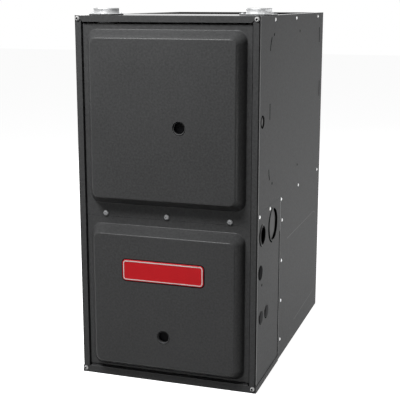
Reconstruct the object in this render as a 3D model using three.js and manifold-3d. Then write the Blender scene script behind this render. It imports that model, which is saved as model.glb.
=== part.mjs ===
// Upflow condensing gas furnace: a sheet-steel cabinet with two raised-panel doors. Burners, heat
// exchangers and the flue fan stand above the blower deck, the air blower and the controls below it.
// Frame: X to the right as seen from the front, Y towards the back, Z up, in millimetres. The pieces are
// placed from the front face of the cabinet frame, and the whole group is then centred on its base.

import * as THREE from 'three';
import { mergeVertices } from 'three/addons/utils/BufferGeometryUtils.js';
import Module from 'manifold-3d';

const wasm = await Module();
wasm.setup();

// ---------------------------------------------------------------- driving dimensions

// Cabinet
const cabinetWidth = 444.5;
const cabinetDepth = 711.2;
const cabinetHeight = 876.3;
const deckHeight = 434.2; // top face of the deck between the two compartments
const sheet = 1.2; // steel of the cabinet and doors
const bend = 2.4; // outside radius of the cabinet's front corners
const seat = 0.3; // clearance where one piece seats on another
const stripWidth = 15.5; // folded front edge on each side of the doors
const stopWidth = 12; // flange behind the door edges
const topRailHeight = 14.8;
const railClip = 4.5; // clipped corners of the top and base rails
const baseRailHeight = 18.9;
const baseRailSideHeight = 15.4;
const baseRailRun = 220; // how far back the base rail's sides run
const baseRailLip = 5;
const footWidth = 20; // folded feet under the cabinet
const topPanelDepth = 262;
const ductFlange = 20; // inward flange round the supply-air outlet
const seamDrop = 31.8; // joint between the doors, below the deck
const cornerPanelDepth = 217;
const cornerPanelDrop = 2.2; // corner panels' top edge below the deck
const lapWidth = 38; // corner panel's flange behind the wrapper

// Heights keep their share of their compartment when the deck or the cabinet's height changes. They
// are given as drawn, in compartments of 434.2 and 442.1.
const halfWidth = cabinetWidth / 2;
const lowerShare = deckHeight / 434.2;
const upperShare = (cabinetHeight - deckHeight) / 442.1;
const inLower = (height) => height * lowerShare;
const inUpper = (height) => deckHeight + height * upperShare;

// Side panel details
const gasHole = { y: 32.7, z: inUpper(206.8), radius: 15, depth: 1.6 };
const pipeCover = { y: 153, z: inLower(378), radius: 39, depth: 6, tab: 9 };
const bossRise = 1.4; // how far the round bosses stand out of the sides
const bossEdge = 0.9; // chamfer round a boss
const drainHole = { y: 48, z: inLower(375), radius: 26, bore: 19.5, sides: 24 };
const plugBoss = { y: 30.5, z: inLower(288), radius: 16.5 };
const conduitBosses = [{ y: 42, z: inLower(176) }, { y: 93.5, z: inLower(175) }];
const conduitRadius = 15.5;

// Doors
const doorRecess = 6; // door flanges sit behind the frame's face
const doorSideGap = 2.5;
const doorTopGap = 4.2;
const doorBottomGap = 2.8;
const doorReturn = 14; // depth of the folded door edges
const panelRaise = 31; // raised panel's face in front of the flange
const panelBevel = 18;
const panelCorner = 24;
const panelSideInset = 11.2;
const upperPanelInset = { top: 13, bottom: 33.7 };
const lowerPanelInset = { top: 17.1, bottom: 6.3 };
const sightRadius = 15;
const sightTube = 12; // length of the tube drawn into the door
const sightGlass = 2; // thickness of the glass
const upperSight = { x: 41.7, z: inUpper(191.5) };
const lowerSight = { x: 0, z: inLower(122.3) };
const plateWidth = 203;
const plateHeight = 51.2;
const plateCentre = inLower(282.4);
const plateThickness = 2;
const plateCorner = 9;
const fastenerSpacing = 155.2;
const fastenerDrop = 23.7; // below the deck
const fastenerHead = 6.8;
const fastenerHeadHeight = 4.8;
const fastenerShank = 2.6;
const cornerScrewInset = 7.2;
const cornerScrewHead = 5.4;
const cornerScrewHeadHeight = 4.6;
const cornerScrewShank = 2;
const cornerScrewLength = 9;

// Pipe collars on the top panel
const intakeInset = 53.25; // centre lines in from the cabinet's sides
const ventInset = 38.25;
const collars = {
  intake: { x: intakeInset - halfWidth, y: 62, flange: 40.5 },
  vent: { x: halfWidth - ventInset, y: 134, flange: 46 },
};
const collarSides = 24;
const pipeRadius = 30.15; // outside of a two-inch plastic pipe
const pipeBore = 26.25;
const collarRise = 16;
const collarDrop = 25;
const collarFlangeThickness = 1.5;
const collarFlangeInset = 1; // flanges are cut off this far inside the cabinet's side
const gasketThickness = 1.5;

// Blower deck and vestibule panel
const deckSideFlange = 14;
const vestibuleDepth = 200; // front face of the panel behind the burners
const vestibuleFlange = 14;
const windowRim = 12; // sheet left round the flue windows

// Burners and gas train
const tubeCount = 3;
const tubePitch = 65;
const tubeHeight = inUpper(205.8); // centre line of the burners
const tubeRadius = 19;
const tubeWall = 1.5;
const tubeBend = 45 * upperShare;
const tubeFrontTurn = 290;
const tubeRearTurn = 600;
const burnerFront = 76;
const burnerLength = 92;
const burnerRadius = 17;
const burnerBore = 13;
const bracketPlate = 150;
const bracketDrop = 26;
const probeGap = 11; // igniter and flame sensor stand this far behind the burners' ends
const manifoldRadius = 10.65;
const manifoldY = 45;
const manifoldEnd = 12; // how far the pipe runs past the burner bracket
const orificeRadius = 6;
const valve = { width: 66, depth: 52, height: 66, beside: 46, inlet: 12, spindle: 8 };
const valveKnob = { radius: 12, height: 12, grip: 5 };

// Heat exchangers
const coilInset = 67.25; // from the cabinet's sides
const boxInset = 62.25;
const coil = {
  halfWidth: halfWidth - coilInset, bottom: inUpper(21.8), top: inUpper(149.8), fins: 18, fin: 1.5, plate: 3,
};
const header = { halfWidth: halfWidth - boxInset, depth: 30, clearance: 4, top: inUpper(415.8) };
const collector = { halfWidth: halfWidth - boxInset, depth: 38, wall: 3 };

// Flue fan
const inducer = {
  x: 85, z: inUpper(85.8), minRadius: 55, maxRadius: 68, cutoff: 60, reach: 78, wall: 2, depth: 42,
  inlet: 24, wheel: 48, wheelInner: 30, wheelWidth: 26, blades: 10, motorRadius: 38, motorLength: 62,
};
const shaftRadius = 6.2;
const shaftClearance = 0.3;
const ventPipeRadius = 25;
const ventPipeWall = 3;

// Controls in the vestibule
const trap = { width: 46, depth: 56, height: 96, gap: 10, back: 16 };
const switchInset = 44.25; // pressure switch's centre, from the cabinet's side
const pressureSwitch = { x: switchInset - halfWidth, z: inUpper(185.8), radius: 27, depth: 20, nipple: 12 };
const hoseRadius = 4;
const hoseWall = 0.8;
const spigotLength = 12;
const rollout = { x: 150, z: inUpper(357.8), radius: 12, depth: 16 };
const resetButton = { radius: 3, height: 4, travel: 1.5 };

// Air blower
const blower = {
  y: 420, z: inLower(205), minRadius: 128, maxRadius: 182, cutoff: 70, width: 208, wall: 1.5, inlet: 102,
  wheel: 120, wheelInner: 98, wheelWidth: 190, blades: 16, motorRadius: 68, motorFace: 12, motorLength: 108,
};
const blowerFlange = 16; // housing's flanges under the deck
const mountBand = 2.5;
const mountBandWidth = 46;
const mountArms = 3;
const mountArm = { halfWidth: 9, thickness: 2, past: 14 };

// Controls below the deck
const controlPanel = { y: 100, halfWidth: 95, bottom: inLower(92), hanger: 22, foot: 14 };
const board = {
  width: 170, height: 130, thickness: 1.8, centre: inLower(165), standoff: 8, post: 3.5, postInset: 8,
};
const relay = { places: [-62, -34, -6], rise: 40, halfWidth: 11, halfHeight: 9, depth: 16 };
const terminals = [
  { x: [20, 76], z: [-57, -47], depth: 10 },
  { x: [-76, -6], z: [-57, -45], depth: 12 },
  { x: [30, 60], z: [-5, 25], depth: 4 },
];
const transformer = { width: 62, depth: 46, height: 58, centre: inLower(330), winding: 9, edge: 8 };
const junctionBox = { width: 46, depth: 92, height: 64, z: inLower(145), y: 24 };
const doorSwitchDrop = 46.2; // below the deck
const striker = { width: 24, below: 8 }; // lower door's tongue, which presses the door switch
const doorSwitch = {
  x: 150, z: deckHeight - doorSwitchDrop, width: 28, depth: 28, height: 18, plunger: 3, bore: 16, stroke: 4,
};

// ---------------------------------------------------------------- derived places

const innerHalf = halfWidth - sheet;
const lapOuter = innerHalf - seat;
const lapInner = lapOuter - sheet;
const topUnder = cabinetHeight - sheet;
const railBottom = cabinetHeight - topRailHeight;
const seamHeight = deckHeight - seamDrop;
const fastenerHeight = deckHeight - fastenerDrop;
const cornerPanelHeight = deckHeight - cornerPanelDrop;
const stripInner = halfWidth - stripWidth;
const baseScrewHeight = cornerScrewInset + sheet * 3;
const doorHalf = stripInner - doorSideGap;
const doorBack = doorRecess + sheet;
const doorEdgeBack = doorRecess + doorReturn;
const doorFace = doorRecess - panelRaise;
const stopInner = stripInner - stopWidth;
const upperDoor = { bottom: seamHeight + seat / 2, top: railBottom - doorTopGap };
const lowerDoor = { bottom: baseRailHeight + doorBottomGap, top: seamHeight - seat / 2 };
const deckUnder = deckHeight - sheet;
const deckFront = doorBack + seat;
const deckHalf = lapInner - seat;
const floorPlate = sheet + seat;
const vestibuleBack = vestibuleDepth + sheet;
const headerBack = cabinetDepth - sheet - header.clearance;
const headerFront = headerBack - header.depth;
const collectorFront = vestibuleDepth - seat - collector.depth;
const collectorBottom = coil.bottom - collector.wall;
const collectorTop = coil.top + collector.wall;
const tubeXs = Array.from({ length: tubeCount }, (_, i) => (i - (tubeCount - 1) / 2) * tubePitch);
const tubeTop = tubeHeight + 4 * tubeBend;
const bracketHalf = tubeXs[tubeCount - 1] + burnerRadius + 12;
const valveLeft = tubeXs[tubeCount - 1] + valve.beside;
const valveRight = valveLeft + valve.width;
const valveFront = manifoldY - valve.depth / 2;
const outletFront = blower.y + blower.minRadius * Math.cos(THREE.MathUtils.degToRad(blower.cutoff));
const outletBack = blower.y + blower.maxRadius;
const inducerBack = collectorFront - seat;
const inducerFront = inducerBack - inducer.depth;
const inducerThroat = inducer.minRadius * Math.cos(THREE.MathUtils.degToRad(inducer.cutoff));
const inducerOutlet = {
  x: inducer.x + (inducer.maxRadius + inducerThroat) / 2,
  y: (inducerFront + inducerBack) / 2,
  z: inducer.z + inducer.reach,
};
const trapRight = -collector.halfWidth - trap.gap;
const hoseStart = { x: -collector.halfWidth + 30, z: collectorTop - 26 };
const pressureSwitchFront = vestibuleDepth - seat - pressureSwitch.depth;
const doorSwitchFront = doorEdgeBack + seat + doorSwitch.stroke + 5;
const beyond = 5; // how far a cutting shape runs past what it cuts

// ---------------------------------------------------------------- geometry helpers

// Steel and plastic finishes, one per kind of surface.
const looks = {
  paint: { color: 0x4a4a4b, roughness: 0.55, metalness: 0.2 },
  galvanised: { color: 0xb4b7ba, roughness: 0.4, metalness: 0.85 },
  aluminised: { color: 0x9b9d9c, roughness: 0.5, metalness: 0.8 },
  stainless: { color: 0xa8abad, roughness: 0.3, metalness: 0.9 },
  aluminium: { color: 0xc2c5c8, roughness: 0.35, metalness: 0.9 },
  castMetal: { color: 0x8d9093, roughness: 0.6, metalness: 0.7 },
  zinc: { color: 0xd5d8da, roughness: 0.3, metalness: 0.9 },
  blackPipe: { color: 0x2c2c2d, roughness: 0.6, metalness: 0.5 },
  blackPlastic: { color: 0x1d1d1f, roughness: 0.5, metalness: 0 },
  whitePlastic: { color: 0xd9d8d2, roughness: 0.5, metalness: 0 },
  rubber: { color: 0x1a1a1a, roughness: 0.9, metalness: 0 },
  redPlate: { color: 0xc41c24, roughness: 0.3, metalness: 0.1 },
  glass: { color: 0x1b1d20, roughness: 0.1, metalness: 0 },
  ceramic: { color: 0xe2ddd0, roughness: 0.7, metalness: 0 },
  motor: { color: 0x3a3c3f, roughness: 0.5, metalness: 0.5 },
  circuit: { color: 0x2f6b3c, roughness: 0.5, metalness: 0.1 },
};

const grid = 1e4; // points sit on a grid of a ten-thousandth, so that faces meant to be level are

// Turns a closed geometry into a solid. A profile drawn downwards comes out inside out and is turned.
function toSolid(geometry) {
  geometry.deleteAttribute('normal');
  geometry.deleteAttribute('uv');
  const merged = mergeVertices(geometry, 1 / grid);
  const points = merged.attributes.position.array.map((value) => Math.round(value * grid) / grid);
  const corners = [];
  let volume = 0;
  const a = new THREE.Vector3();
  const b = new THREE.Vector3();
  const c = new THREE.Vector3();
  for (let i = 0; i < merged.index.count; i += 3) {
    const [p, q, r] = [merged.index.getX(i), merged.index.getX(i + 1), merged.index.getX(i + 2)];
    if (p === q || q === r || r === p) continue;
    corners.push([p, q, r]);
    a.fromArray(points, p * 3);
    b.fromArray(points, q * 3);
    c.fromArray(points, r * 3);
    volume += a.dot(b.cross(c));
  }
  const triVerts = Uint32Array.from(corners.flatMap(([p, q, r]) => (volume < 0 ? [p, r, q] : [p, q, r])));
  const vertProperties = Float32Array.from(points);
  return new wasm.Manifold(new wasm.Mesh({ numProp: 3, vertProperties, triVerts }));
}

// A block between two places on each axis, given in either order.
function cuboid(x, y, z) {
  const size = [x, y, z].map(([low, high]) => Math.abs(high - low));
  const centre = [x, y, z].map(([low, high]) => (low + high) / 2);
  return toSolid(new THREE.BoxGeometry(...size).translate(...centre));
}

// The three drawing planes: where the outline's first axis, its second axis and the extrusion point.
const planes = {
  yz: [new THREE.Vector3(0, 1, 0), new THREE.Vector3(0, 0, 1), new THREE.Vector3(1, 0, 0)],
  xz: [new THREE.Vector3(1, 0, 0), new THREE.Vector3(0, 0, 1), new THREE.Vector3(0, -1, 0)],
  xy: [new THREE.Vector3(1, 0, 0), new THREE.Vector3(0, 1, 0), new THREE.Vector3(0, 0, 1)],
};

// An outline in one of the planes, as thick as from one place to the other on the third axis.
function prism(plane, outline, from, to) {
  const [low, high] = from < to ? [from, to] : [to, from];
  const shape = new THREE.Shape(outline.map(([u, v]) => new THREE.Vector2(u, v)));
  const geometry = new THREE.ExtrudeGeometry(shape, { depth: high - low, bevelEnabled: false });
  const start = plane === 'xz' ? -high : low;
  geometry.translate(0, 0, start);
  return toSolid(geometry.applyMatrix4(new THREE.Matrix4().makeBasis(...planes[plane])));
}

function circle([u, v], radius, segments = 24) {
  return Array.from({ length: segments }, (_, i) => {
    const angle = (i / segments) * 2 * Math.PI;
    return [u + radius * Math.cos(angle), v + radius * Math.sin(angle)];
  });
}

function disc(plane, centre, radius, from, to, segments) {
  return prism(plane, circle(centre, radius, segments), from, to);
}

// A turned shape: radius and place along the axis, from one end on the axis to the other.
function turned(plane, [u, v], profile, segments = 24) {
  const points = profile.map(([radius, along]) => new THREE.Vector2(radius, along));
  const geometry = new THREE.LatheGeometry(points, segments);
  if (plane === 'yz') geometry.rotateZ(-Math.PI / 2).translate(0, u, v);
  if (plane === 'xz') geometry.translate(u, 0, v);
  if (plane === 'xy') geometry.rotateX(Math.PI / 2).translate(u, v, 0);
  return toSolid(geometry);
}

// A rounded rectangle's outline, counter-clockwise.
function roundedRectangle([left, right], [bottom, top], radius, steps = 5) {
  const corners = [[right, top, 0], [left, top, 1], [left, bottom, 2], [right, bottom, 3]];
  return corners.flatMap(([u, v, quarter]) => {
    const cu = u + (u === left ? radius : -radius);
    const cv = v + (v === bottom ? radius : -radius);
    return Array.from({ length: steps + 1 }, (_, i) => {
      const angle = ((quarter + i / steps) * Math.PI) / 2;
      return [cu + radius * Math.cos(angle), cv + radius * Math.sin(angle)];
    });
  });
}

// A solid through rings that have the same number of points, with flat ends.
function loft(rings) {
  const count = rings[0].length;
  const positions = rings.flat(2);
  const index = [];
  for (let k = 0; k + 1 < rings.length; k += 1) {
    for (let i = 0; i < count; i += 1) {
      const j = (i + 1) % count;
      const [a, b, c, d] = [k * count + i, k * count + j, (k + 1) * count + j, (k + 1) * count + i];
      index.push(a, b, c, a, c, d);
    }
  }
  const last = (rings.length - 1) * count;
  for (let i = 1; i + 1 < count; i += 1) {
    index.push(0, i + 1, i, last, last + i, last + i + 1);
  }
  const geometry = new THREE.BufferGeometry();
  geometry.setAttribute('position', new THREE.Float32BufferAttribute(positions, 3));
  geometry.setIndex(index);
  return toSolid(geometry);
}

// A path that an extrusion follows from station to station, with a mitre at each.
class StationPath extends THREE.Curve {
  constructor(stations) {
    super();
    this.stations = stations;
  }

  getPoint(t) {
    const place = t * (this.stations.length - 1);
    const first = Math.min(Math.floor(place), this.stations.length - 2);
    return this.stations[first].clone().lerp(this.stations[first + 1], place - first);
  }

  getPointAt(u) {
    return this.getPoint(u);
  }

  getTangentAt(u) {
    const last = this.stations.length - 1;
    const here = Math.round(u * last);
    const before = this.stations[Math.max(here - 1, 0)];
    const middle = this.stations[here];
    const after = this.stations[Math.min(here + 1, last)];
    const arriving = middle.clone().sub(before).normalize();
    const leaving = after.clone().sub(middle).normalize();
    return arriving.add(leaving).normalize();
  }
}

// A round pipe along the stations. With a wall it is open at both ends.
function pipe(stations, radius, wall = 0, sides = 12) {
  const section = new THREE.Shape(circle([0, 0], radius, sides).map(([u, v]) => new THREE.Vector2(u, v)));
  if (wall > 0) {
    const bore = circle([0, 0], radius - wall, sides).map(([u, v]) => new THREE.Vector2(u, v));
    section.holes.push(new THREE.Path(bore));
  }
  const extrudePath = new StationPath(stations);
  return toSolid(new THREE.ExtrudeGeometry(section, { extrudePath, steps: stations.length - 1 }));
}

const part = new THREE.Group();

// Adds a solid to the part as a mesh with its own material.
function piece(name, solid, look) {
  const { vertProperties, triVerts } = solid.getMesh();
  const geometry = new THREE.BufferGeometry();
  geometry.setAttribute('position', new THREE.BufferAttribute(Float32Array.from(vertProperties), 3));
  geometry.setIndex(new THREE.BufferAttribute(Uint32Array.from(triVerts), 1));
  geometry.computeVertexNormals();
  const material = new THREE.MeshStandardMaterial({ ...looks[look], flatShading: true });
  const mesh = new THREE.Mesh(geometry, material);
  mesh.name = name;
  part.add(mesh);
}

// ---------------------------------------------------------------- cabinet skin

// A round dish pressed into a side sheet.
function pressDish(panel, side, { y, z, radius, depth }) {
  const floor = side * (halfWidth - depth);
  const back = side * (halfWidth - depth - sheet);
  const cup = disc('yz', [y, z], radius + sheet, back, side * (halfWidth - sheet / 2), 16);
  return panel.add(cup).subtract(disc('yz', [y, z], radius, floor, side * (halfWidth + beyond), 16));
}

// A round boss pressed out of a side sheet and hollow behind, or a ring when it has a bore.
function pressBoss(panel, side, { y, z, radius, bore = 0, sides = 16 }) {
  const foot = side * (halfWidth - sheet / 2);
  const face = side * (halfWidth + bossRise);
  const edge = face - side * bossEdge;
  const boss = turned('yz', [y, z], [
    [0, foot], [radius, foot], [radius, edge], [radius - bossEdge, face], [0, face],
  ], sides);
  const behind = side * (innerHalf - beyond);
  const hollow = disc('yz', [y, z], radius - sheet, behind, face - side * sheet, sides);
  const pressed = panel.add(boss).subtract(hollow);
  if (bore === 0) return pressed;
  return pressed.subtract(disc('yz', [y, z], bore, behind, face + side * beyond, sides));
}

// What the rounded bend takes off the outside of a front corner at a place across and a place forward.
function bendCut(side, across, forward) {
  const steps = 4;
  const arc = Array.from({ length: steps + 1 }, (_, i) => {
    const angle = ((i / steps - 1) * Math.PI) / 2;
    return [side * (across - bend + bend * Math.cos(angle)), forward + bend + bend * Math.sin(angle)];
  });
  const outside = side * (across + beyond);
  const flat = side * (across - bend);
  return prism('xy', [
    [outside, forward - beyond], [flat, forward - beyond], ...arc, [outside, forward + bend],
  ], -beyond, cabinetHeight + beyond);
}

// The large cover hangs behind its hole on a tab at the top and one at the bottom.
function pressCover(panel, side, { y, z, radius, depth, tab }) {
  const back = side * (halfWidth - depth - sheet);
  const hole = disc('yz', [y, z], radius, back - side * beyond, side * (halfWidth + beyond), 30);
  const cover = disc('yz', [y, z], radius, back, side * (halfWidth - depth), 30);
  const spans = [1, -1].map((end) => cuboid(
    [back, side * (halfWidth - sheet / 2)],
    [y - tab / 2, y + tab / 2],
    [z + end * (radius - sheet), z + end * (radius + sheet)],
  ));
  return panel.subtract(hole).add(cover).add(spans[0]).add(spans[1]);
}

// The folded front edge: strip, return beside the door and stop flange behind the door's edge.
function frontFold(side, bottom, top) {
  const strip = cuboid([side * stripInner, side * halfWidth], [0, sheet], [bottom, top]);
  const inner = side * (stripInner + sheet);
  const stopFront = doorEdgeBack + seat;
  const stopBack = stopFront + sheet;
  const fold = cuboid([side * stripInner, inner], [0, stopBack], [bottom, top]);
  const stop = cuboid([side * stopInner, inner], [stopFront, stopBack], [bottom, top]);
  return strip.add(fold).add(stop);
}

// What is cut out for a corner screw.
function screwHole(side, z, from, to) {
  return disc('xz', [side * (halfWidth - cornerScrewInset), z], cornerScrewShank + seat, from, to, 12);
}

function wrapper() {
  const windowTop = cornerPanelHeight + seat;
  const windowBack = cornerPanelDepth + seat;
  const foldTop = railBottom - seat;
  let skin = cuboid([-halfWidth, halfWidth], [cabinetDepth - sheet, cabinetDepth], [0, cabinetHeight]);
  for (const side of [-1, 1]) {
    const wall = [side * innerHalf, side * halfWidth];
    const foot = [side * (halfWidth - footWidth), side * halfWidth];
    const lip = [side * (halfWidth - ductFlange), side * halfWidth];
    const upper = cuboid(wall, [sheet + seat, cabinetDepth], [windowTop, topUnder]);
    const lower = cuboid(wall, [windowBack, cabinetDepth], [0, topUnder]);
    const front = frontFold(side, seamHeight + seat, foldTop);
    const edge = cuboid(wall, [0, sheet + seat + beyond], [windowTop, foldTop]);
    const strip = [side * stripInner, side * halfWidth];
    const tab = cuboid(strip, [sheet + seat, 2 * sheet + seat], [foldTop - beyond, topUnder]);
    const flange = cuboid(lip, [topPanelDepth + seat, cabinetDepth], [topUnder - sheet / 2, cabinetHeight]);
    const sole = cuboid(foot, [windowBack, cabinetDepth], [0, sheet]);
    skin = skin.add(upper).add(lower).add(front).add(edge).add(tab).add(flange).add(sole);
    skin = pressDish(skin, side, gasHole);
    skin = skin.subtract(screwHole(side, cabinetHeight - cornerScrewInset, 0, sheet * 4));
    skin = skin.subtract(bendCut(side, halfWidth, 0));
  }
  const wide = [-halfWidth, halfWidth];
  const rearLip = cuboid(wide, [cabinetDepth - ductFlange, cabinetDepth], [topUnder, cabinetHeight]);
  const rearSole = cuboid(wide, [cabinetDepth - footWidth, cabinetDepth], [0, sheet]);
  return skin.add(rearLip).add(rearSole);
}

function cornerPanel(side) {
  const bottom = floorPlate;
  const tall = [bottom, cornerPanelHeight];
  const back = cornerPanelDepth - sheet;
  const wall = cuboid([side * innerHalf, side * halfWidth], [sheet, cornerPanelDepth], tall);
  const rise = cuboid([side * lapInner, side * halfWidth], [back, cornerPanelDepth], tall);
  const lap = cuboid([side * lapInner, side * lapOuter], [back, cornerPanelDepth + lapWidth], tall);
  const notch = cuboid(
    [side * (stripInner - beyond), side * (halfWidth + beyond)],
    [-beyond, sheet + seat],
    [seamHeight, cornerPanelHeight + beyond],
  );
  let panel = wall.add(frontFold(side, bottom, seamHeight)).add(rise).add(lap).subtract(notch);
  panel = pressCover(panel, side, pipeCover);
  panel = pressBoss(panel, side, drainHole);
  panel = pressBoss(panel, side, plugBoss);
  for (const boss of conduitBosses) panel = pressBoss(panel, side, { ...boss, radius: conduitRadius });
  panel = panel.subtract(screwHole(side, baseScrewHeight, -beyond, sheet * 4));
  return panel.subtract(bendCut(side, halfWidth, 0));
}

// Front plate of the top with its rail, clipped at the lower corners.
function topPanel() {
  const plate = cuboid([-halfWidth, halfWidth], [0, topPanelDepth], [topUnder, cabinetHeight]);
  const clip = stripInner - railClip;
  const rail = prism('xz', [
    [-halfWidth, cabinetHeight], [-halfWidth, railBottom + railClip], [-stripInner, railBottom + railClip],
    [-clip, railBottom], [clip, railBottom], [stripInner, railBottom + railClip],
    [halfWidth, railBottom + railClip], [halfWidth, cabinetHeight],
  ], 0, sheet);
  let panel = plate.add(rail);
  for (const { x, y } of Object.values(collars)) {
    const through = [topUnder - beyond, cabinetHeight + beyond];
    panel = panel.subtract(disc('xy', [x, y], pipeRadius + seat, ...through, collarSides));
  }
  for (const side of [-1, 1]) {
    panel = panel.subtract(screwHole(side, cabinetHeight - cornerScrewInset, -beyond, beyond));
    panel = panel.subtract(bendCut(side, halfWidth, 0));
  }
  return panel;
}

// The base rail wraps the front and the two corner panels from outside.
function baseRail() {
  const inner = halfWidth + seat;
  const outer = inner + sheet;
  const clip = stripInner - railClip;
  const front = -seat - sheet;
  const clipTop = baseRailHeight - railClip;
  const face = prism('xz', [
    [-outer, 0], [outer, 0], [outer, clipTop], [stripInner, clipTop], [clip, baseRailHeight],
    [-clip, baseRailHeight], [-stripInner, clipTop], [-outer, clipTop],
  ], front, front + sheet);
  const lip = cuboid([-clip, clip], [front, baseRailLip], [baseRailHeight - sheet, baseRailHeight]);
  const sole = cuboid([-outer, outer], [front, footWidth], [0, sheet]);
  let rail = face.add(lip).add(sole);
  for (const side of [-1, 1]) {
    const flank = cuboid([side * inner, side * outer], [front, baseRailRun], [0, baseRailSideHeight]);
    const footInner = side * (halfWidth - footWidth);
    const foot = cuboid([footInner, side * outer], [front, cornerPanelDepth], [0, sheet]);
    rail = rail.add(flank).add(foot).subtract(screwHole(side, baseScrewHeight, front - beyond, 0));
    rail = rail.subtract(bendCut(side, outer, front));
  }
  return rail;
}

// Bottom plate with the return-air opening.
function bottomPan() {
  const rim = 45;
  const front = doorEdgeBack + sheet + 2 * seat;
  const back = cabinetDepth - sheet - seat;
  const plate = cuboid([-deckHalf, deckHalf], [front, back], [floorPlate, floorPlate + sheet]);
  const half = deckHalf - rim;
  const opening = cuboid([-half, half], [front + rim, back - rim], [0, floorPlate + beyond]);
  return plate.subtract(opening);
}

// ---------------------------------------------------------------- doors

// The raised panel as a full block, or with an inset the hollow behind its sheet.
function raisedPanel(bottom, top, inset) {
  const half = doorHalf - panelSideInset - inset;
  const ring = (y, shrink, radius) => roundedRectangle(
    [-half + shrink, half - shrink],
    [bottom + inset + shrink, top - inset - shrink],
    radius - inset,
  ).map(([x, z]) => [x, y, z]);
  const back = inset > 0 ? doorBack + beyond : doorBack;
  const foot = doorRecess + inset / 2;
  return loft([
    ring(back, 0, panelCorner),
    ring(foot, 0, panelCorner),
    ring(doorFace + inset, panelBevel, panelCorner - panelBevel / 2),
  ]);
}

function doorSheet({ bottom, top }, inset, sight) {
  const panelBottom = bottom + inset.bottom;
  const panelTop = top - inset.top;
  const flange = cuboid([-doorHalf, doorHalf], [doorRecess, doorBack], [bottom, top]);
  const edges = [
    cuboid([-doorHalf, -doorHalf + sheet], [doorRecess, doorEdgeBack], [bottom, top]),
    cuboid([doorHalf - sheet, doorHalf], [doorRecess, doorEdgeBack], [bottom, top]),
    cuboid([-doorHalf, doorHalf], [doorRecess, doorEdgeBack], [bottom, bottom + sheet]),
    cuboid([-doorHalf, doorHalf], [doorRecess, doorEdgeBack], [top - sheet, top]),
  ];
  let door = flange.add(raisedPanel(panelBottom, panelTop, 0));
  door = door.subtract(raisedPanel(panelBottom, panelTop, sheet));
  for (const edge of edges) door = door.add(edge);
  const place = [sight.x, sight.z];
  const tube = disc('xz', place, sightRadius + sheet, doorFace + sheet / 2, doorFace + sightTube);
  const bore = disc('xz', place, sightRadius, doorFace - beyond, doorFace + sightTube + beyond);
  return door.add(tube).subtract(bore);
}

function upperDoorSheet() {
  let door = doorSheet(upperDoor, upperPanelInset, upperSight);
  for (const step of [-1, 0, 1]) {
    const place = [step * fastenerSpacing, fastenerHeight];
    door = door.subtract(disc('xz', place, fastenerShank + seat, doorRecess - beyond, doorBack + beyond, 16));
  }
  return door;
}

// The lower door has a tongue folded down from its top edge.
function lowerDoorSheet() {
  const wide = [doorSwitch.x - striker.width / 2, doorSwitch.x + striker.width / 2];
  const bottom = doorSwitch.z - striker.below;
  const tongue = cuboid(wide, [doorEdgeBack - sheet, doorEdgeBack], [bottom, lowerDoor.top]);
  return doorSheet(lowerDoor, lowerPanelInset, lowerSight).add(tongue);
}

function sightDisc({ x, z }) {
  const back = doorFace + sightTube;
  return disc('xz', [x, z], sightRadius - seat, back - sightGlass, back);
}

function namePlate() {
  const outline = roundedRectangle(
    [-plateWidth / 2, plateWidth / 2],
    [plateCentre - plateHeight / 2, plateCentre + plateHeight / 2],
    plateCorner,
  );
  return prism('xz', outline, doorFace - plateThickness, doorFace);
}

// Round-headed screw with a dimple, through the upper door into the deck's front flange.
function doorFastener(x) {
  const under = doorRecess - seat;
  const face = under - fastenerHeadHeight;
  const tip = deckFront + sheet + 3;
  return turned('xz', [x, fastenerHeight], [
    [0, face + 1.2], [2.2, face], [fastenerHead - 1.6, face + 0.6], [fastenerHead, face + 2.4],
    [fastenerHead, under], [fastenerShank, under], [fastenerShank, tip - 1.2],
    [fastenerShank - 1, tip], [0, tip],
  ], 16);
}

// Hexagon washer-head screw in a front corner of the frame.
function cornerScrew(x, z, face) {
  const washer = disc('xz', [x, z], cornerScrewHead, face - 1.2, face, 16);
  const hexagon = disc('xz', [x, z], cornerScrewHead * 0.82, face - cornerScrewHeadHeight, face, 6);
  const shank = disc('xz', [x, z], cornerScrewShank, face - 1, face + cornerScrewLength, 12);
  return washer.add(hexagon).add(shank);
}

// ---------------------------------------------------------------- pipe collars

// A round flange, cut off short of the cabinet's side.
function flangeDisc({ x, y, flange }, bottom, thickness) {
  const limit = halfWidth - collarFlangeInset;
  const round = disc('xy', [x, y], flange, bottom, bottom + thickness, collarSides);
  return round.intersect(cuboid([-limit, limit], [0, cabinetDepth], [bottom, bottom + thickness]));
}

function collar(place) {
  const centre = [place.x, place.y];
  const bottom = cabinetHeight - collarDrop;
  const top = cabinetHeight + collarRise;
  const tube = disc('xy', centre, pipeRadius, bottom, top, collarSides);
  const flange = flangeDisc(place, cabinetHeight + gasketThickness, collarFlangeThickness);
  return tube.add(flange).subtract(disc('xy', centre, pipeBore, bottom - beyond, top + beyond, collarSides));
}

function collarGasket(place) {
  const through = [topUnder, cabinetHeight + beyond];
  const hole = disc('xy', [place.x, place.y], pipeRadius + seat, ...through, collarSides);
  return flangeDisc(place, cabinetHeight, gasketThickness).subtract(hole);
}

// ---------------------------------------------------------------- deck and vestibule panel

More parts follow.
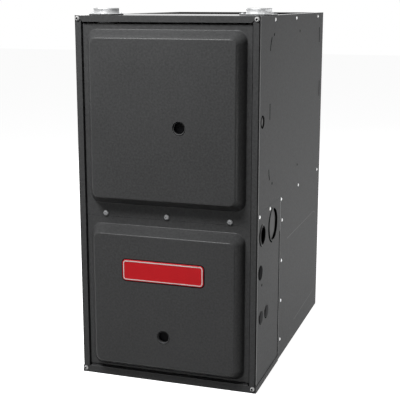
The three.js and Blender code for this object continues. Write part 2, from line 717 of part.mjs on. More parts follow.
function blowerDeck() {
  const frontHalf = stopInner - seat;
  const shoulder = doorEdgeBack + sheet + 2 * seat;
  const back = cabinetDepth - sheet - seat;
  const plate = cuboid([-deckHalf, deckHalf], [shoulder, back], [deckUnder, deckHeight]);
  const tongue = cuboid([-frontHalf, frontHalf], [deckFront, shoulder + beyond], [deckUnder, deckHeight]);
  const front = cuboid(
    [-frontHalf, frontHalf],
    [deckFront, deckFront + sheet],
    [upperDoor.bottom + sheet + seat, deckHeight],
  );
  let deck = plate.add(tongue).add(front);
  for (const side of [-1, 1]) {
    const flange = [side * (deckHalf - sheet), side * deckHalf];
    deck = deck.add(cuboid(flange, [shoulder, back], [deckHeight - deckSideFlange, deckHeight]));
  }
  for (const step of [-1, 0, 1]) {
    const place = [step * fastenerSpacing, fastenerHeight];
    deck = deck.subtract(disc('xz', place, fastenerShank + seat, 0, doorEdgeBack, 16));
  }
  const half = blower.width / 2 - blower.wall;
  const outlet = cuboid(
    [-half, half],
    [outletFront + blower.wall, outletBack - blower.wall],
    [deckUnder - beyond, deckHeight + beyond],
  );
  return deck.subtract(outlet);
}

// What is cut out for the flue gas at either end of the secondary coil.
function flueWindow(through) {
  const half = coil.halfWidth - windowRim;
  return cuboid([-half, half], through, [coil.bottom + windowRim, coil.top - windowRim]);
}

function vestibulePanel() {
  const half = innerHalf - seat;
  const bottom = deckHeight + seat;
  const top = topUnder - seat;
  let panel = cuboid([-half, half], [vestibuleDepth, vestibuleBack], [bottom, top]);
  for (const side of [-1, 1]) {
    const flange = [side * (half - sheet), side * half];
    panel = panel.add(cuboid(flange, [vestibuleDepth - vestibuleFlange, vestibuleBack], [bottom, top]));
  }
  const through = [vestibuleDepth - beyond, vestibuleBack + beyond];
  for (const x of tubeXs) panel = panel.subtract(disc('xz', [x, tubeHeight], tubeRadius + seat, ...through));
  return panel.subtract(flueWindow(through));
}

// ---------------------------------------------------------------- burners and gas train

function burner(x) {
  const rear = burnerFront + burnerLength;
  const throat = burnerBore - 4;
  const throatPlace = burnerFront + 34;
  return turned('xz', [x, tubeHeight], [
    [burnerRadius, burnerFront], [throat + 2, throatPlace], [burnerRadius, bracketPlate - 4],
    [burnerRadius, rear], [burnerBore, rear], [burnerBore, bracketPlate - 2], [throat, throatPlace],
    [burnerBore, burnerFront], [burnerRadius, burnerFront],
  ], 18);
}

// Shelf under the burners, with the plate that their heads stand in and two arms for the manifold.
function burnerBracket() {
  const half = bracketHalf;
  const bottom = tubeHeight - bracketDrop;
  const top = tubeHeight + bracketDrop;
  const back = vestibuleDepth - seat;
  const shelf = cuboid([-half, half], [burnerFront + 20, back], [bottom - sheet, bottom]);
  const stand = cuboid([-half, half], [bracketPlate, bracketPlate + sheet], [bottom - sheet, top]);
  const foot = cuboid([-half, half], [back - sheet, back], [bottom - 14, bottom]);
  let bracket = shelf.add(stand).add(foot);
  for (const side of [-1, 1]) {
    const arm = [side * (half - sheet), side * half];
    const reach = manifoldY - manifoldRadius - 4;
    const through = [side * (half - beyond), side * (half + beyond)];
    const hole = disc('yz', [manifoldY, tubeHeight], manifoldRadius + seat, ...through, 16);
    bracket = bracket.add(cuboid(arm, [reach, bracketPlate], [bottom - sheet, top - 8])).subtract(hole);
  }
  for (const x of tubeXs) {
    const hole = [bracketPlate - beyond, bracketPlate + beyond];
    bracket = bracket.subtract(disc('xz', [x, tubeHeight], burnerRadius + seat, ...hole, 18));
  }
  return bracket;
}

function gasManifold() {
  const left = -bracketHalf - manifoldEnd;
  let rail = disc('yz', [manifoldY, tubeHeight], manifoldRadius, left, valveLeft - seat, 16);
  rail = rail.add(disc('yz', [manifoldY, tubeHeight], manifoldRadius + 2.5, left - 4, left + 8, 6));
  for (const x of tubeXs) {
    rail = rail.add(disc('xz', [x, tubeHeight], orificeRadius, manifoldY, burnerFront - seat, 12));
  }
  return rail;
}

function gasValve() {
  const middle = (valveLeft + valveRight) / 2;
  const low = tubeHeight - valve.height / 2;
  const high = tubeHeight + valve.height / 2;
  const body = cuboid([valveLeft, valveRight], [valveFront, valveFront + valve.depth], [low, high]);
  const regulator = disc('xy', [middle, manifoldY], 17, high, high + 16);
  const gasWay = [gasHole.y, tubeHeight];
  const inletEnd = valveRight + valve.inlet;
  const inlet = disc('yz', gasWay, 14, valveRight, inletEnd, 8);
  const socket = disc('yz', gasWay, 10, valveRight - 8, inletEnd + beyond, 16);
  const spindle = disc('xz', [middle, tubeHeight], 4, valveFront - valve.spindle, valveFront, 16);
  return body.add(regulator).add(inlet).subtract(socket).add(spindle);
}

// Turning on-off knob on the valve's spindle.
function valveSwitch() {
  const middle = (valveLeft + valveRight) / 2;
  const back = valveFront - seat;
  const front = back - valveKnob.height;
  const skirt = disc('xz', [middle, tubeHeight], valveKnob.radius, back - 4, back, 24);
  const grip = cuboid(
    [middle - valveKnob.grip / 2, middle + valveKnob.grip / 2],
    [front, back - 3],
    [tubeHeight - valveKnob.radius + 1, tubeHeight + valveKnob.radius - 1],
  );
  const hub = disc('xz', [middle, tubeHeight], 7, front, back - 3, 16);
  const spindle = [valveFront - valve.spindle - seat, back + beyond];
  const bore = disc('xz', [middle, tubeHeight], 4 + shaftClearance, ...spindle, 16);
  return skirt.add(hub).add(grip).subtract(bore);
}

// Ceramic-bodied probe whose rod reaches into the burner flame.
function flameProbe(x, rodRadius) {
  const y = burnerFront + burnerLength + probeGap;
  const base = tubeHeight - bracketDrop + seat;
  const plate = cuboid([x - 9, x + 9], [y - 7, y + 7], [base, base + 1.5]);
  const body = disc('xy', [x, y], 4.5, base, base + 12, 12);
  return plate.add(body).add(disc('xy', [x, y], rodRadius, base + 10, tubeHeight - 2, 8));
}

// ---------------------------------------------------------------- heat exchangers

// A half turn upwards, starting along +Y or -Y from the given place.
function halfTurn(x, y, z, direction, steps = 6) {
  return Array.from({ length: steps + 1 }, (_, i) => {
    const angle = (i / steps) * Math.PI;
    const reach = direction * tubeBend * Math.sin(angle);
    return new THREE.Vector3(x, y + reach, z + tubeBend * (1 - Math.cos(angle)));
  });
}

function primaryTube(x) {
  return pipe([
    new THREE.Vector3(x, vestibuleDepth - 8, tubeHeight),
    ...halfTurn(x, tubeRearTurn, tubeHeight, 1),
    ...halfTurn(x, tubeFrontTurn, tubeHeight + 2 * tubeBend, -1),
    new THREE.Vector3(x, headerFront + 8, tubeTop),
  ], tubeRadius, tubeWall, 10);
}

// Finned block that the flue gas crosses from the rear header to the front collector.
function secondaryCoil() {
  const front = vestibuleBack + seat;
  const back = headerFront - seat;
  const wide = [-coil.halfWidth, coil.halfWidth];
  const tall = [coil.bottom, coil.top];
  const frontPlate = cuboid(wide, [front, front + coil.plate], tall);
  const backPlate = cuboid(wide, [back - coil.plate, back], tall);
  let block = frontPlate.add(backPlate);
  for (const side of [-1, 1]) {
    const skin = [side * (coil.halfWidth - coil.fin), side * coil.halfWidth];
    block = block.add(cuboid(skin, [front, back], tall));
  }
  const pitch = (back - front - coil.plate) / (coil.fins + 1);
  for (let i = 1; i <= coil.fins; i += 1) {
    const y = front + coil.plate / 2 + i * pitch;
    block = block.add(cuboid(wide, [y - coil.fin / 2, y + coil.fin / 2], [coil.bottom + 4, coil.top - 4]));
  }
  return block;
}

function rearHeader() {
  const wall = sheet;
  const wide = [-header.halfWidth, header.halfWidth];
  const inside = [-header.halfWidth + wall, header.halfWidth - wall];
  const shell = cuboid(wide, [headerFront, headerBack], [coil.bottom, header.top]);
  const tall = [coil.bottom + wall, header.top - wall];
  const hollow = cuboid(inside, [headerFront + wall, headerBack - wall], tall);
  const through = [headerFront - beyond, headerFront + beyond];
  let box = shell.subtract(hollow).subtract(flueWindow(through));
  for (const x of tubeXs) box = box.subtract(disc('xz', [x, tubeTop], tubeRadius + seat, ...through));
  return box;
}

// Open-backed plastic box in front of the vestibule panel.
function collectorBox() {
  const wide = [-collector.halfWidth, collector.halfWidth];
  const back = vestibuleDepth - seat;
  const shell = cuboid(wide, [collectorFront, back], [collectorBottom, collectorTop]);
  const hollow = cuboid(
    [wide[0] + collector.wall, wide[1] - collector.wall],
    [collectorFront + collector.wall, back + beyond],
    [collectorBottom + collector.wall, collectorTop - collector.wall],
  );
  const fan = [inducer.x, inducer.z];
  const hose = [hoseStart.x, hoseStart.z];
  const inlet = disc('xz', fan, inducer.inlet, collectorFront - beyond, collectorFront + 2 * beyond);
  const spigot = disc('xz', hose, hoseRadius - 1.2, collectorFront - spigotLength, collectorFront + 1, 10);
  return shell.subtract(hollow).subtract(inlet).add(spigot);
}

// ---------------------------------------------------------------- fans

// Spiral outline round a wheel, with its outlet pointing up on the far side.
function scrollOutline([u, v], { minRadius, maxRadius, cutoff }, reach, wall, steps = 16) {
  const start = THREE.MathUtils.degToRad(cutoff);
  const points = Array.from({ length: steps + 1 }, (_, i) => {
    const angle = start + ((2 * Math.PI - start) * i) / steps;
    const radius = minRadius + ((maxRadius - minRadius) * i) / steps - wall;
    return [u + radius * Math.cos(angle), v + radius * Math.sin(angle)];
  });
  const rear = u + maxRadius - wall;
  const front = u + minRadius * Math.cos(start) + wall;
  points[0][0] = front;
  return [...points, [rear, v + reach], [front, v + reach]];
}

// Ring of forward-curved blades between two rims, on a plate with a hub and its shaft.
function bladeWheel(plane, [u, v], { outer, inner, low, high, blades, plate, rim }) {
  const sides = blades < 15 ? 2 * blades : blades;
  const round = (radius, from, to) => disc(plane, [u, v], radius, from, to, sides);
  const ring = (from, to) => round(outer, from, to).subtract(round(inner, from - rim, to + rim));
  let wheel = ring(low, low + rim).add(ring(high - rim, high)).add(round(outer - 1, ...plate));
  for (let i = 0; i < blades; i += 1) {
    const angle = (i / blades) * 2 * Math.PI;
    const lean = 0.12;
    const thick = 1.6;
    const root = [u + (inner + 1) * Math.cos(angle), v + (inner + 1) * Math.sin(angle)];
    const tip = [u + (outer - 1) * Math.cos(angle + lean), v + (outer - 1) * Math.sin(angle + lean)];
    const side = [-Math.sin(angle) * thick, Math.cos(angle) * thick];
    const outline = [root, tip, [tip[0] + side[0], tip[1] + side[1]], [root[0] + side[0], root[1] + side[1]]];
    wheel = wheel.add(prism(plane, outline, low + rim / 2, high - rim / 2));
  }
  return wheel;
}

function blowerHousing() {
  const half = blower.width / 2;
  const reach = deckUnder - seat - blower.z;
  const place = [blower.y, blower.z];
  const inside = half - blower.wall;
  const full = prism('yz', scrollOutline(place, blower, reach, 0), -half, half);
  const hollow = prism('yz', scrollOutline(place, blower, reach + beyond, blower.wall), -inside, inside);
  const inlets = disc('yz', place, blower.inlet, -half - beyond, half + beyond, 36);
  let housing = full.subtract(hollow).subtract(inlets);
  const top = deckUnder - seat;
  for (const side of [-1, 1]) {
    housing = housing.add(cuboid(
      [side * inside, side * (half + blowerFlange)],
      [outletFront, outletBack],
      [top - blower.wall, top],
    ));
  }
  return housing;
}

function blowerWheel() {
  const half = blower.wheelWidth / 2;
  const place = [blower.y, blower.z];
  const wheel = bladeWheel('yz', place, {
    outer: blower.wheel,
    inner: blower.wheelInner,
    low: -half,
    high: half,
    blades: blower.blades,
    plate: [-2, 2],
    rim: 3,
  });
  const hub = disc('yz', place, 16, -14, blower.motorFace - seat * 2, 16);
  const shaft = disc('yz', place, shaftRadius, -26, blower.motorFace + 14, 16);
  return wheel.add(hub).add(shaft);
}

function blowerMotor() {
  const place = [blower.y, blower.z];
  const { motorFace: face, motorRadius: radius } = blower;
  const back = face + blower.motorLength;
  const body = turned('yz', place, [
    [0, face], [radius - 14, face], [radius, face + 12], [radius, back - 8], [radius - 8, back], [0, back],
  ], 28);
  const bore = disc('yz', place, shaftRadius + shaftClearance, face - 1, face + 16, 16);
  return body.subtract(bore);
}

// Band round the motor with arms out to the housing's side.
function motorMount() {
  const place = [blower.y, blower.z];
  const side = blower.width / 2 + seat;
  const inner = blower.motorRadius + seat;
  const outer = inner + mountBand;
  const face = side + mountArm.thickness;
  const reach = blower.inlet + mountArm.past;
  const wide = mountArm.halfWidth;
  let mount = disc('yz', place, outer, side - mountBandWidth, face, 28);
  for (let i = 0; i < mountArms; i += 1) {
    const angle = Math.PI / 2 + (i / mountArms) * 2 * Math.PI;
    const [c, s] = [Math.cos(angle), Math.sin(angle)];
    const corner = (along, across) => [blower.y + along * c - across * s, blower.z + along * s + across * c];
    const arm = [corner(inner, -wide), corner(reach, -wide), corner(reach, wide), corner(inner, wide)];
    mount = mount.add(prism('yz', arm, side, face));
  }
  return mount.subtract(disc('yz', place, inner, 0, side + 2 * beyond, 28));
}

function inducerHousing() {
  const place = [inducer.x, inducer.z];
  const full = prism('xz', scrollOutline(place, inducer, inducer.reach, 0), inducerFront, inducerBack);
  const hollow = prism('xz', scrollOutline(place, inducer, inducer.reach + beyond, inducer.wall),
    inducerFront + inducer.wall, inducerBack - inducer.wall);
  const inlet = disc('xz', place, inducer.inlet, inducerBack - beyond, inducerBack + beyond);
  const shaftHole = disc('xz', place, shaftRadius + 3, inducerFront - beyond, inducerFront + beyond, 16);
  const mouth = inducerOutlet.z;
  const plate = cuboid(
    [inducer.x + inducer.minRadius * 0.5 - 6, inducer.x + inducer.maxRadius + 8],
    [inducerFront - 4, inducerBack],
    [mouth - 3, mouth],
  );
  const way = ventPipeRadius - ventPipeWall - 6;
  const bore = disc('xy', [inducerOutlet.x, inducerOutlet.y], way, mouth - beyond, mouth + beyond, 20);
  return full.subtract(hollow).subtract(inlet).subtract(shaftHole).add(plate).subtract(bore);
}

function inducerWheel() {
  const place = [inducer.x, inducer.z];
  const low = inducerFront + inducer.wall + 4;
  const high = low + inducer.wheelWidth;
  const wheel = bladeWheel('xz', place, {
    outer: inducer.wheel,
    inner: inducer.wheelInner,
    low,
    high,
    blades: inducer.blades,
    plate: [low, low + 2],
    rim: 2,
  });
  return wheel.add(disc('xz', place, shaftRadius, inducerFront - 12, low + 12, 16));
}

function inducerMotor() {
  const place = [inducer.x, inducer.z];
  const back = inducerFront - seat;
  const front = back - inducer.motorLength;
  const body = turned('xz', place, [
    [0, front], [inducer.motorRadius - 10, front], [inducer.motorRadius, front + 8],
    [inducer.motorRadius, back - 6], [inducer.motorRadius + 6, back - 4],
    [inducer.motorRadius + 6, back], [0, back],
  ], 24);
  return body.subtract(disc('xz', place, shaftRadius + shaftClearance, back - 14, back + beyond, 16));
}

// Pipe from the flue fan's outlet to the vent collar, with one slanting stretch.
function ventPipe() {
  const from = new THREE.Vector3(inducerOutlet.x, inducerOutlet.y, inducerOutlet.z + seat);
  const to = new THREE.Vector3(collars.vent.x, collars.vent.y, cabinetHeight - collarDrop - seat);
  const climb = to.z - from.z;
  const bend = { bottom: from.z + climb * 0.095, top: from.z + climb * 0.451 };
  const steps = 6;
  const stations = [from];
  for (let i = 0; i <= steps; i += 1) {
    const t = i / steps;
    const ease = (1 - Math.cos(Math.PI * t)) / 2;
    stations.push(new THREE.Vector3(
      THREE.MathUtils.lerp(from.x, to.x, ease),
      THREE.MathUtils.lerp(from.y, to.y, ease),
      THREE.MathUtils.lerp(bend.bottom, bend.top, t),
    ));
  }
  stations.push(to);
  return pipe(stations, ventPipeRadius, ventPipeWall, 12);
}

// ---------------------------------------------------------------- small controls

function condensateTrap() {
  const left = trapRight - trap.width;
  const back = vestibuleDepth - trap.back;
  const bottom = deckHeight + seat;
  const front = back - trap.depth;
  const outline = roundedRectangle([left, trapRight], [front, back], 8, 3);
  const body = prism('xy', outline, bottom, bottom + trap.height);
  const boxSide = -collector.halfWidth - seat;
  const neck = disc('yz', [back - 16, collectorBottom + 22], 9, trapRight - 2, boxSide, 16);
  const spout = disc('xz', [left + trap.width / 2, bottom + 20], 8, front - 14, front + 2, 16);
  return body.add(neck).add(spout);
}

function pressureSwitchBody() {
  const place = [pressureSwitch.x, pressureSwitch.z];
  const { radius, nipple: side } = pressureSwitch;
  const back = vestibuleDepth - seat;
  const front = pressureSwitchFront;
  const body = turned('xz', place, [
    [0, front], [radius - 6, front], [radius - 4, front + 7],
    [radius, front + 8], [radius, back - 4], [radius - 4, back], [0, back],
  ], 24);
  const tip = front - spigotLength;
  const nipple = disc('xz', [place[0] + side, place[1]], hoseRadius - 1.2, tip, front + 1, 10);
  return body.add(nipple);
}

// Soft hose from the collector's spigot to the pressure switch's nipple, turning back in a half circle.
function pressureHose() {
  const a = new THREE.Vector3(hoseStart.x, collectorFront - seat, hoseStart.z);
  const nippleX = pressureSwitch.x + pressureSwitch.nipple;
  const b = new THREE.Vector3(nippleX, pressureSwitchFront - seat, pressureSwitch.z);
  const turnsAt = Math.min(a.y, b.y) - 16;
  const middle = new THREE.Vector3((a.x + b.x) / 2, turnsAt, (a.z + b.z) / 2);
  const half = new THREE.Vector3(a.x - middle.x, 0, a.z - middle.z);
  const steps = 9;
  const turn = Array.from({ length: steps + 1 }, (_, i) => {
    const angle = (i / steps) * Math.PI;
    const ahead = new THREE.Vector3(0, -half.length() * Math.sin(angle), 0);
    return middle.clone().addScaledVector(half, Math.cos(angle)).add(ahead);
  });
  return pipe([a, ...turn, b], hoseRadius, hoseWall, 8);
}

function rolloutSwitch() {
  const place = [rollout.x, rollout.z];
  const back = vestibuleDepth - seat;
  const front = back - rollout.depth;
  const base = cuboid([rollout.x - 20, rollout.x + 20], [back - 1.5, back], [rollout.z - 8, rollout.z + 8]);
  const can = disc('xz', place, rollout.radius, front, back, 20);
  const bore = disc('xz', place, resetButton.radius + seat, front - beyond, front + 7, 16);
  return base.add(can).subtract(bore);
}

function rolloutButton() {
  const front = vestibuleDepth - seat - rollout.depth;
  const end = front + 7 - resetButton.travel - seat;
  return disc('xz', [rollout.x, rollout.z], resetButton.radius, front - resetButton.height, end, 16);
}

// ---------------------------------------------------------------- controls below the deck

function controlPlate() {
  const { y, halfWidth: half, bottom, hanger: over, foot: under } = controlPanel;
  const top = deckUnder - seat;
  const plate = cuboid([-half, half], [y, y + sheet], [bottom, top]);
  const hanger = cuboid([-half, half], [y, y + over], [top - sheet, top]);
  const foot = cuboid([-half, half], [y, y + under], [bottom, bottom + sheet]);
  let panel = plate.add(hanger).add(foot);
  for (const side of [-1, 1]) {
    for (const end of [-1, 1]) {
      const along = board.width / 2 - board.postInset;
      const up = board.height / 2 - board.postInset;
      const place = [side * along, board.centre + end * up];
      panel = panel.add(disc('xz', place, board.post, y - board.standoff, y, 10));
    }
  }
  return panel;
}

function controlBoard() {
  const back = controlPanel.y - board.standoff - seat;
  const front = back - board.thickness;
  const [low, high] = [board.centre - board.height / 2, board.centre + board.height / 2];
  let circuit = cuboid([-board.width / 2, board.width / 2], [front, back], [low, high]);
  for (const x of relay.places) {
    const wide = [x - relay.halfWidth, x + relay.halfWidth];
    const middle = board.centre + relay.rise;
    const tall = [middle - relay.halfHeight, middle + relay.halfHeight];
    circuit = circuit.add(cuboid(wide, [front - relay.depth, front], tall));
  }
  for (const { x, z, depth } of terminals) {
    circuit = circuit.add(cuboid(x, [front - depth, front], z.map((up) => board.centre + up)));
  }
  return circuit;
}

function powerTransformer() {
  const { centre, depth, edge, winding } = transformer;
  const back = controlPanel.y - seat;
  const wide = transformer.width / 2;
  const tall = transformer.height / 2;
  const core = cuboid([-wide, wide], [back - depth + 6, back], [centre - tall, centre + tall]);
  const outline = roundedRectangle(
    [-wide + edge, wide - edge],
    [centre - tall - winding, centre + tall + winding],
    edge,
    3,
  );
  return core.add(prism('xz', outline, back - depth, back - 6));
}

function wiringBox() {
  const right = innerHalf - seat;
  const left = right - junctionBox.width;
  const wide = [junctionBox.y, junctionBox.y + junctionBox.depth];
  const tall = [junctionBox.z, junctionBox.z + junctionBox.height];
  const shell = cuboid([left, right], wide, tall);
  const inside = ([low, high]) => [low + sheet, high - sheet];
  const hollow = cuboid([left - beyond, right - sheet], inside(wide), inside(tall));
  return shell.subtract(hollow);
}

function doorSwitchBody() {
  const { x, z, width, depth, height } = doorSwitch;
  const front = doorSwitchFront;
  const back = front + depth;
  const wide = [x - width / 2, x + width / 2];
  const body = cuboid(wide, [front, back], [z - height / 2, z + height / 2]);
  const ear = cuboid(wide, [back - 4, back], [z, deckUnder - seat]);
  const bore = disc('xz', [x, z], doorSwitch.plunger + seat, front - beyond, front + doorSwitch.bore, 16);
  return body.add(ear).subtract(bore);
}

function doorSwitchPlunger() {
  const front = doorEdgeBack + seat;
  const back = doorSwitchFront + doorSwitch.bore - doorSwitch.stroke - 2 * seat;
  return disc('xz', [doorSwitch.x, doorSwitch.z], doorSwitch.plunger, front, back, 16);
}

// ---------------------------------------------------------------- assembly

piece('cabinet_wrapper', wrapper(), 'paint');
piece('corner_panel_left', cornerPanel(-1), 'paint');
piece('corner_panel_right', cornerPanel(1), 'paint');
piece('top_panel', topPanel(), 'paint');
piece('base_rail', baseRail(), 'paint');
piece('bottom_pan', bottomPan(), 'galvanised');
piece('door_upper', upperDoorSheet(), 'paint');
piece('door_lower', lowerDoorSheet(), 'paint');
piece('sight_glass_upper', sightDisc(upperSight), 'glass');
piece('sight_glass_lower', sightDisc(lowerSight), 'glass');
piece('name_plate', namePlate(), 'redPlate');
['left', 'centre', 'right'].forEach((word, i) => {
  piece(`door_fastener_${word}`, doorFastener((i - 1) * fastenerSpacing), 'zinc');
});
for (const [word, side] of [['left', -1], ['right', 1]]) {
  const x = side * (halfWidth - cornerScrewInset);
  piece(`corner_screw_top_${word}`, cornerScrew(x, cabinetHeight - cornerScrewInset, 0), 'zinc');
  piece(`corner_screw_base_${word}`, cornerScrew(x, baseScrewHeight, -seat - sheet), 'zinc');
}

piece('vent_collar', collar(collars.vent), 'galvanised');
piece('vent_gasket', collarGasket(collars.vent), 'rubber');
piece('intake_collar', collar(collars.intake), 'galvanised');
piece('intake_gasket', collarGasket(collars.intake), 'rubber');

piece('blower_deck', blowerDeck(), 'galvanised');
piece('vestibule_panel', vestibulePanel(), 'aluminised');

tubeXs.forEach((x, i) => {
  piece(`burner_${i + 1}`, burner(x), 'aluminised');
  piece(`primary_tube_${i + 1}`, primaryTube(x), 'aluminised');
});
piece('burner_bracket', burnerBracket(), 'galvanised');
piece('gas_manifold', gasManifold(), 'blackPipe');
piece('gas_valve', gasValve(), 'castMetal');
piece('gas_valve_switch', valveSwitch(), 'blackPlastic');
piece('igniter', flameProbe(tubeXs[0], 3), 'ceramic');
piece('flame_sensor', flameProbe(tubeXs[tubeCount - 1], 1.6), 'ceramic');
piece('rollout_switch', rolloutSwitch(), 'blackPlastic');
piece('rollout_reset_button', rolloutButton(), 'redPlate');

piece('rear_header', rearHeader(), 'aluminised');
piece('secondary_coil', secondaryCoil(), 'aluminium');
piece('collector_box', collectorBox(), 'blackPlastic');
piece('inducer_housing', inducerHousing(), 'blackPlastic');
piece('inducer_wheel', inducerWheel(), 'aluminium');
piece('inducer_motor', inducerMotor(), 'motor');
piece('vent_pipe', ventPipe(), 'whitePlastic');
piece('condensate_trap', condensateTrap(), 'blackPlastic');
piece('pressure_switch', pressureSwitchBody(), 'blackPlastic');
piece('pressure_hose', pressureHose(), 'rubber');

piece('blower_housing', blowerHousing(), 'galvanised');
piece('blower_wheel', blowerWheel(), 'galvanised');
piece('blower_motor', blowerMotor(), 'motor');
piece('motor_mount', motorMount(), 'galvanised');
piece('control_panel', controlPlate(), 'galvanised');
piece('control_board', controlBoard(), 'circuit');
piece('transformer', powerTransformer(), 'castMetal');
piece('junction_box', wiringBox(), 'galvanised');
piece('door_switch', doorSwitchBody(), 'blackPlastic');
piece('door_switch_plunger', doorSwitchPlunger(), 'whitePlastic');

// The name plate stands furthest to the front, and the origin is below the middle of the whole.
const frontMost = doorFace - plateThickness;
part.position.y = -(frontMost + cabinetDepth) / 2;

export default part;
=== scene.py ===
"""Finishes the gas furnace: finer doors, collars, screws and name plate, and a material for every surface."""

import math

import bpy
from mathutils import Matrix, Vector
from mathutils.geometry import tessellate_polygon


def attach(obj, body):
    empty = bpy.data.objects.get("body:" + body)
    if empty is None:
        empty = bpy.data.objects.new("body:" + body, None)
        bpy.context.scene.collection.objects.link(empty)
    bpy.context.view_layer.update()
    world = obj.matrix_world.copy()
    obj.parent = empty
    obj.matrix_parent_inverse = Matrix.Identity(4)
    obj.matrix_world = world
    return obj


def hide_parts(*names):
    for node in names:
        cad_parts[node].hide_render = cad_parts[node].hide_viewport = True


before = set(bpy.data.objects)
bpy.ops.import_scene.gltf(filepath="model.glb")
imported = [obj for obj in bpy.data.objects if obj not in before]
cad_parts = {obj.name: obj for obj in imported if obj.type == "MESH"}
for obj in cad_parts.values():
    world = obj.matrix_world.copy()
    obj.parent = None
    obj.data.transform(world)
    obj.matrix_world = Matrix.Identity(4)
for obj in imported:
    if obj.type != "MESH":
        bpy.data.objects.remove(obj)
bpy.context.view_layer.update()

MM = 0.001
FRONT = 342.1  # how far the cabinet's front face stands before the frame's origin, in millimetres


def place(x, y, z):
    """A point given in millimetres from the middle of the cabinet's front face, in the row frame."""
    return Vector((x * MM, (y - FRONT) * MM, z * MM))


# ---------------------------------------------------------------- camera, light and floor

def make_camera():
    data = bpy.data.cameras.new("camera")
    data.sensor_width = 36
    data.lens = 83.584
    camera = bpy.data.objects.new("camera", data)
    camera.location = (0.74446, -2.33129, 0.90743)
    camera.rotation_euler = (math.radians(90 - 12.0764), 0, math.radians(18.3590))
    bpy.context.scene.collection.objects.link(camera)
    bpy.context.scene.camera = camera


def make_lamp(name, location, target, size, power):
    data = bpy.data.lights.new(name, "AREA")
    data.shape = "RECTANGLE"
    data.size, data.size_y = size
    data.energy = power
    lamp = bpy.data.objects.new(name, data)
    lamp.location = location
    lamp.rotation_euler = (Vector(target) - Vector(location)).to_track_quat("-Z", "Y").to_euler()
    bpy.context.scene.collection.objects.link(lamp)


def node(tree, kind, inputs=None, **settings):
    """A shader node with its settings, and its inputs given as values or as sockets to link."""
    made = tree.nodes.new("ShaderNode" + kind)
    for key, value in settings.items():
        setattr(made, key, value)
    for key, value in (inputs or {}).items():
        if isinstance(value, bpy.types.NodeSocket):
            tree.links.new(value, made.inputs[key])
        else:
            made.inputs[key].default_value = value
    return made


def maths(tree, operation, *values, clamp=False):
    inputs = dict(enumerate(values))
    return node(tree, "Math", inputs, operation=operation, use_clamp=clamp).outputs[0]


def seen_directly(tree):
    """1 for camera, glossy and transmission rays, which see the background as it is."""
    path = node(tree, "LightPath").outputs
    return maths(tree, "MAXIMUM", maths(tree, "MAXIMUM", path["Is Camera Ray"], path["Is Glossy Ray"]),
                 path["Is Transmission Ray"])


def make_world():
    world = bpy.data.worlds.new("studio")
    world.use_nodes = True
    tree = world.node_tree
    tree.nodes.clear()
    soft = node(tree, "Background", {"Color": (1, 1, 1, 1), "Strength": 0.11})
    white = node(tree, "Background", {"Color": (1, 1, 1, 1), "Strength": 1.0})
    both = node(tree, "MixShader", {0: seen_directly(tree), 1: soft.outputs[0], 2: white.outputs[0]})
    node(tree, "OutputWorld", {"Surface": both.outputs[0]})
    bpy.context.scene.world = world


def make_floor():
    """A pale plain floor that keeps the object's shadow."""
    mesh = bpy.data.meshes.new("floor")
    reach, level = 14.0, -0.0003
    corners = [(-reach, -reach, level), (reach, -reach, level), (reach, reach, level), (-reach, reach, level)]
    mesh.from_pydata(corners, [], [(0, 1, 2, 3)])
    floor = bpy.data.objects.new("floor", mesh)
    bpy.context.scene.collection.objects.link(floor)
    material = bpy.data.materials.new("floor")
    material.use_nodes = True
    tree = material.node_tree
    tree.nodes.clear()
    grain = node(tree, "TexNoise", {"Scale": 6.0, "Detail": 3.0})
    tone = node(tree, "MapRange", {"Value": grain.outputs[0], "To Min": 0.9, "To Max": 0.94})
    lit = node(tree, "BsdfDiffuse", {"Color": tone.outputs[0]})
    # No glow within the cabinet's footprint, which shows through the return-air opening in its base.
    across = node(tree, "SeparateXYZ", {0: node(tree, "TexCoord").outputs["Object"]}).outputs
    under = maths(tree, "MULTIPLY", maths(tree, "LESS_THAN", maths(tree, "ABSOLUTE", across[0]), 0.215),
                  maths(tree, "LESS_THAN", maths(tree, "ABSOLUTE", across[1]), 0.33))
    strength = maths(tree, "MULTIPLY_ADD", under, -0.86, 0.86)
    glow = node(tree, "Emission", {"Color": (1, 1, 1, 1), "Strength": strength})
    pale = node(tree, "AddShader", {0: lit.outputs[0], 1: glow.outputs[0]})
    dull = node(tree, "BsdfDiffuse", {"Color": (0.06, 0.06, 0.06, 1)})
    both = node(tree, "MixShader", {0: seen_directly(tree), 1: dull.outputs[0], 2: pale.outputs[0]})
    node(tree, "OutputMaterial", {"Surface": both.outputs[0]})
    mesh.materials.append(material)


make_camera()
make_lamp("key", (-0.45, -1.25, 1.9), (0.0, -0.35, 0.75), (0.8, 0.5), 42)
make_lamp("side", (1.9, 0.7, 0.3), (0.2, 0.0, 0.1), (0.7, 0.5), 24)
make_lamp("rear", (-1.9, 2.1, 1.5), (0.0, 0.2, 0.4), (1.2, 1.2), 22)
make_world()
make_floor()
bpy.context.scene.view_settings.view_transform = "Standard"


# ---------------------------------------------------------------- materials

def edge_mask(tree, radius, samples=4):
    """1 along the edges, from how far a rounded normal leans from the face's own."""
    rounded = node(tree, "Bevel", {"Radius": radius}, samples=samples).outputs[0]
    own = node(tree, "NewGeometry").outputs["Normal"]
    lean = node(tree, "VectorMath", {0: rounded, 1: own}, operation="DOT_PRODUCT").outputs["Value"]
    return node(tree, "MapRange", {"Value": lean, "From Min": 0.98, "From Max": 0.8}).outputs[0]


def colours(tree, factor, first, second):
    """Mixes two colours, each given as three numbers or a socket."""
    def value(colour):
        return colour if isinstance(colour, bpy.types.NodeSocket) else (*colour, 1)
    return node(tree, "Mix", {0: factor, 6: value(first), 7: value(second)}, data_type="RGBA").outputs[2]


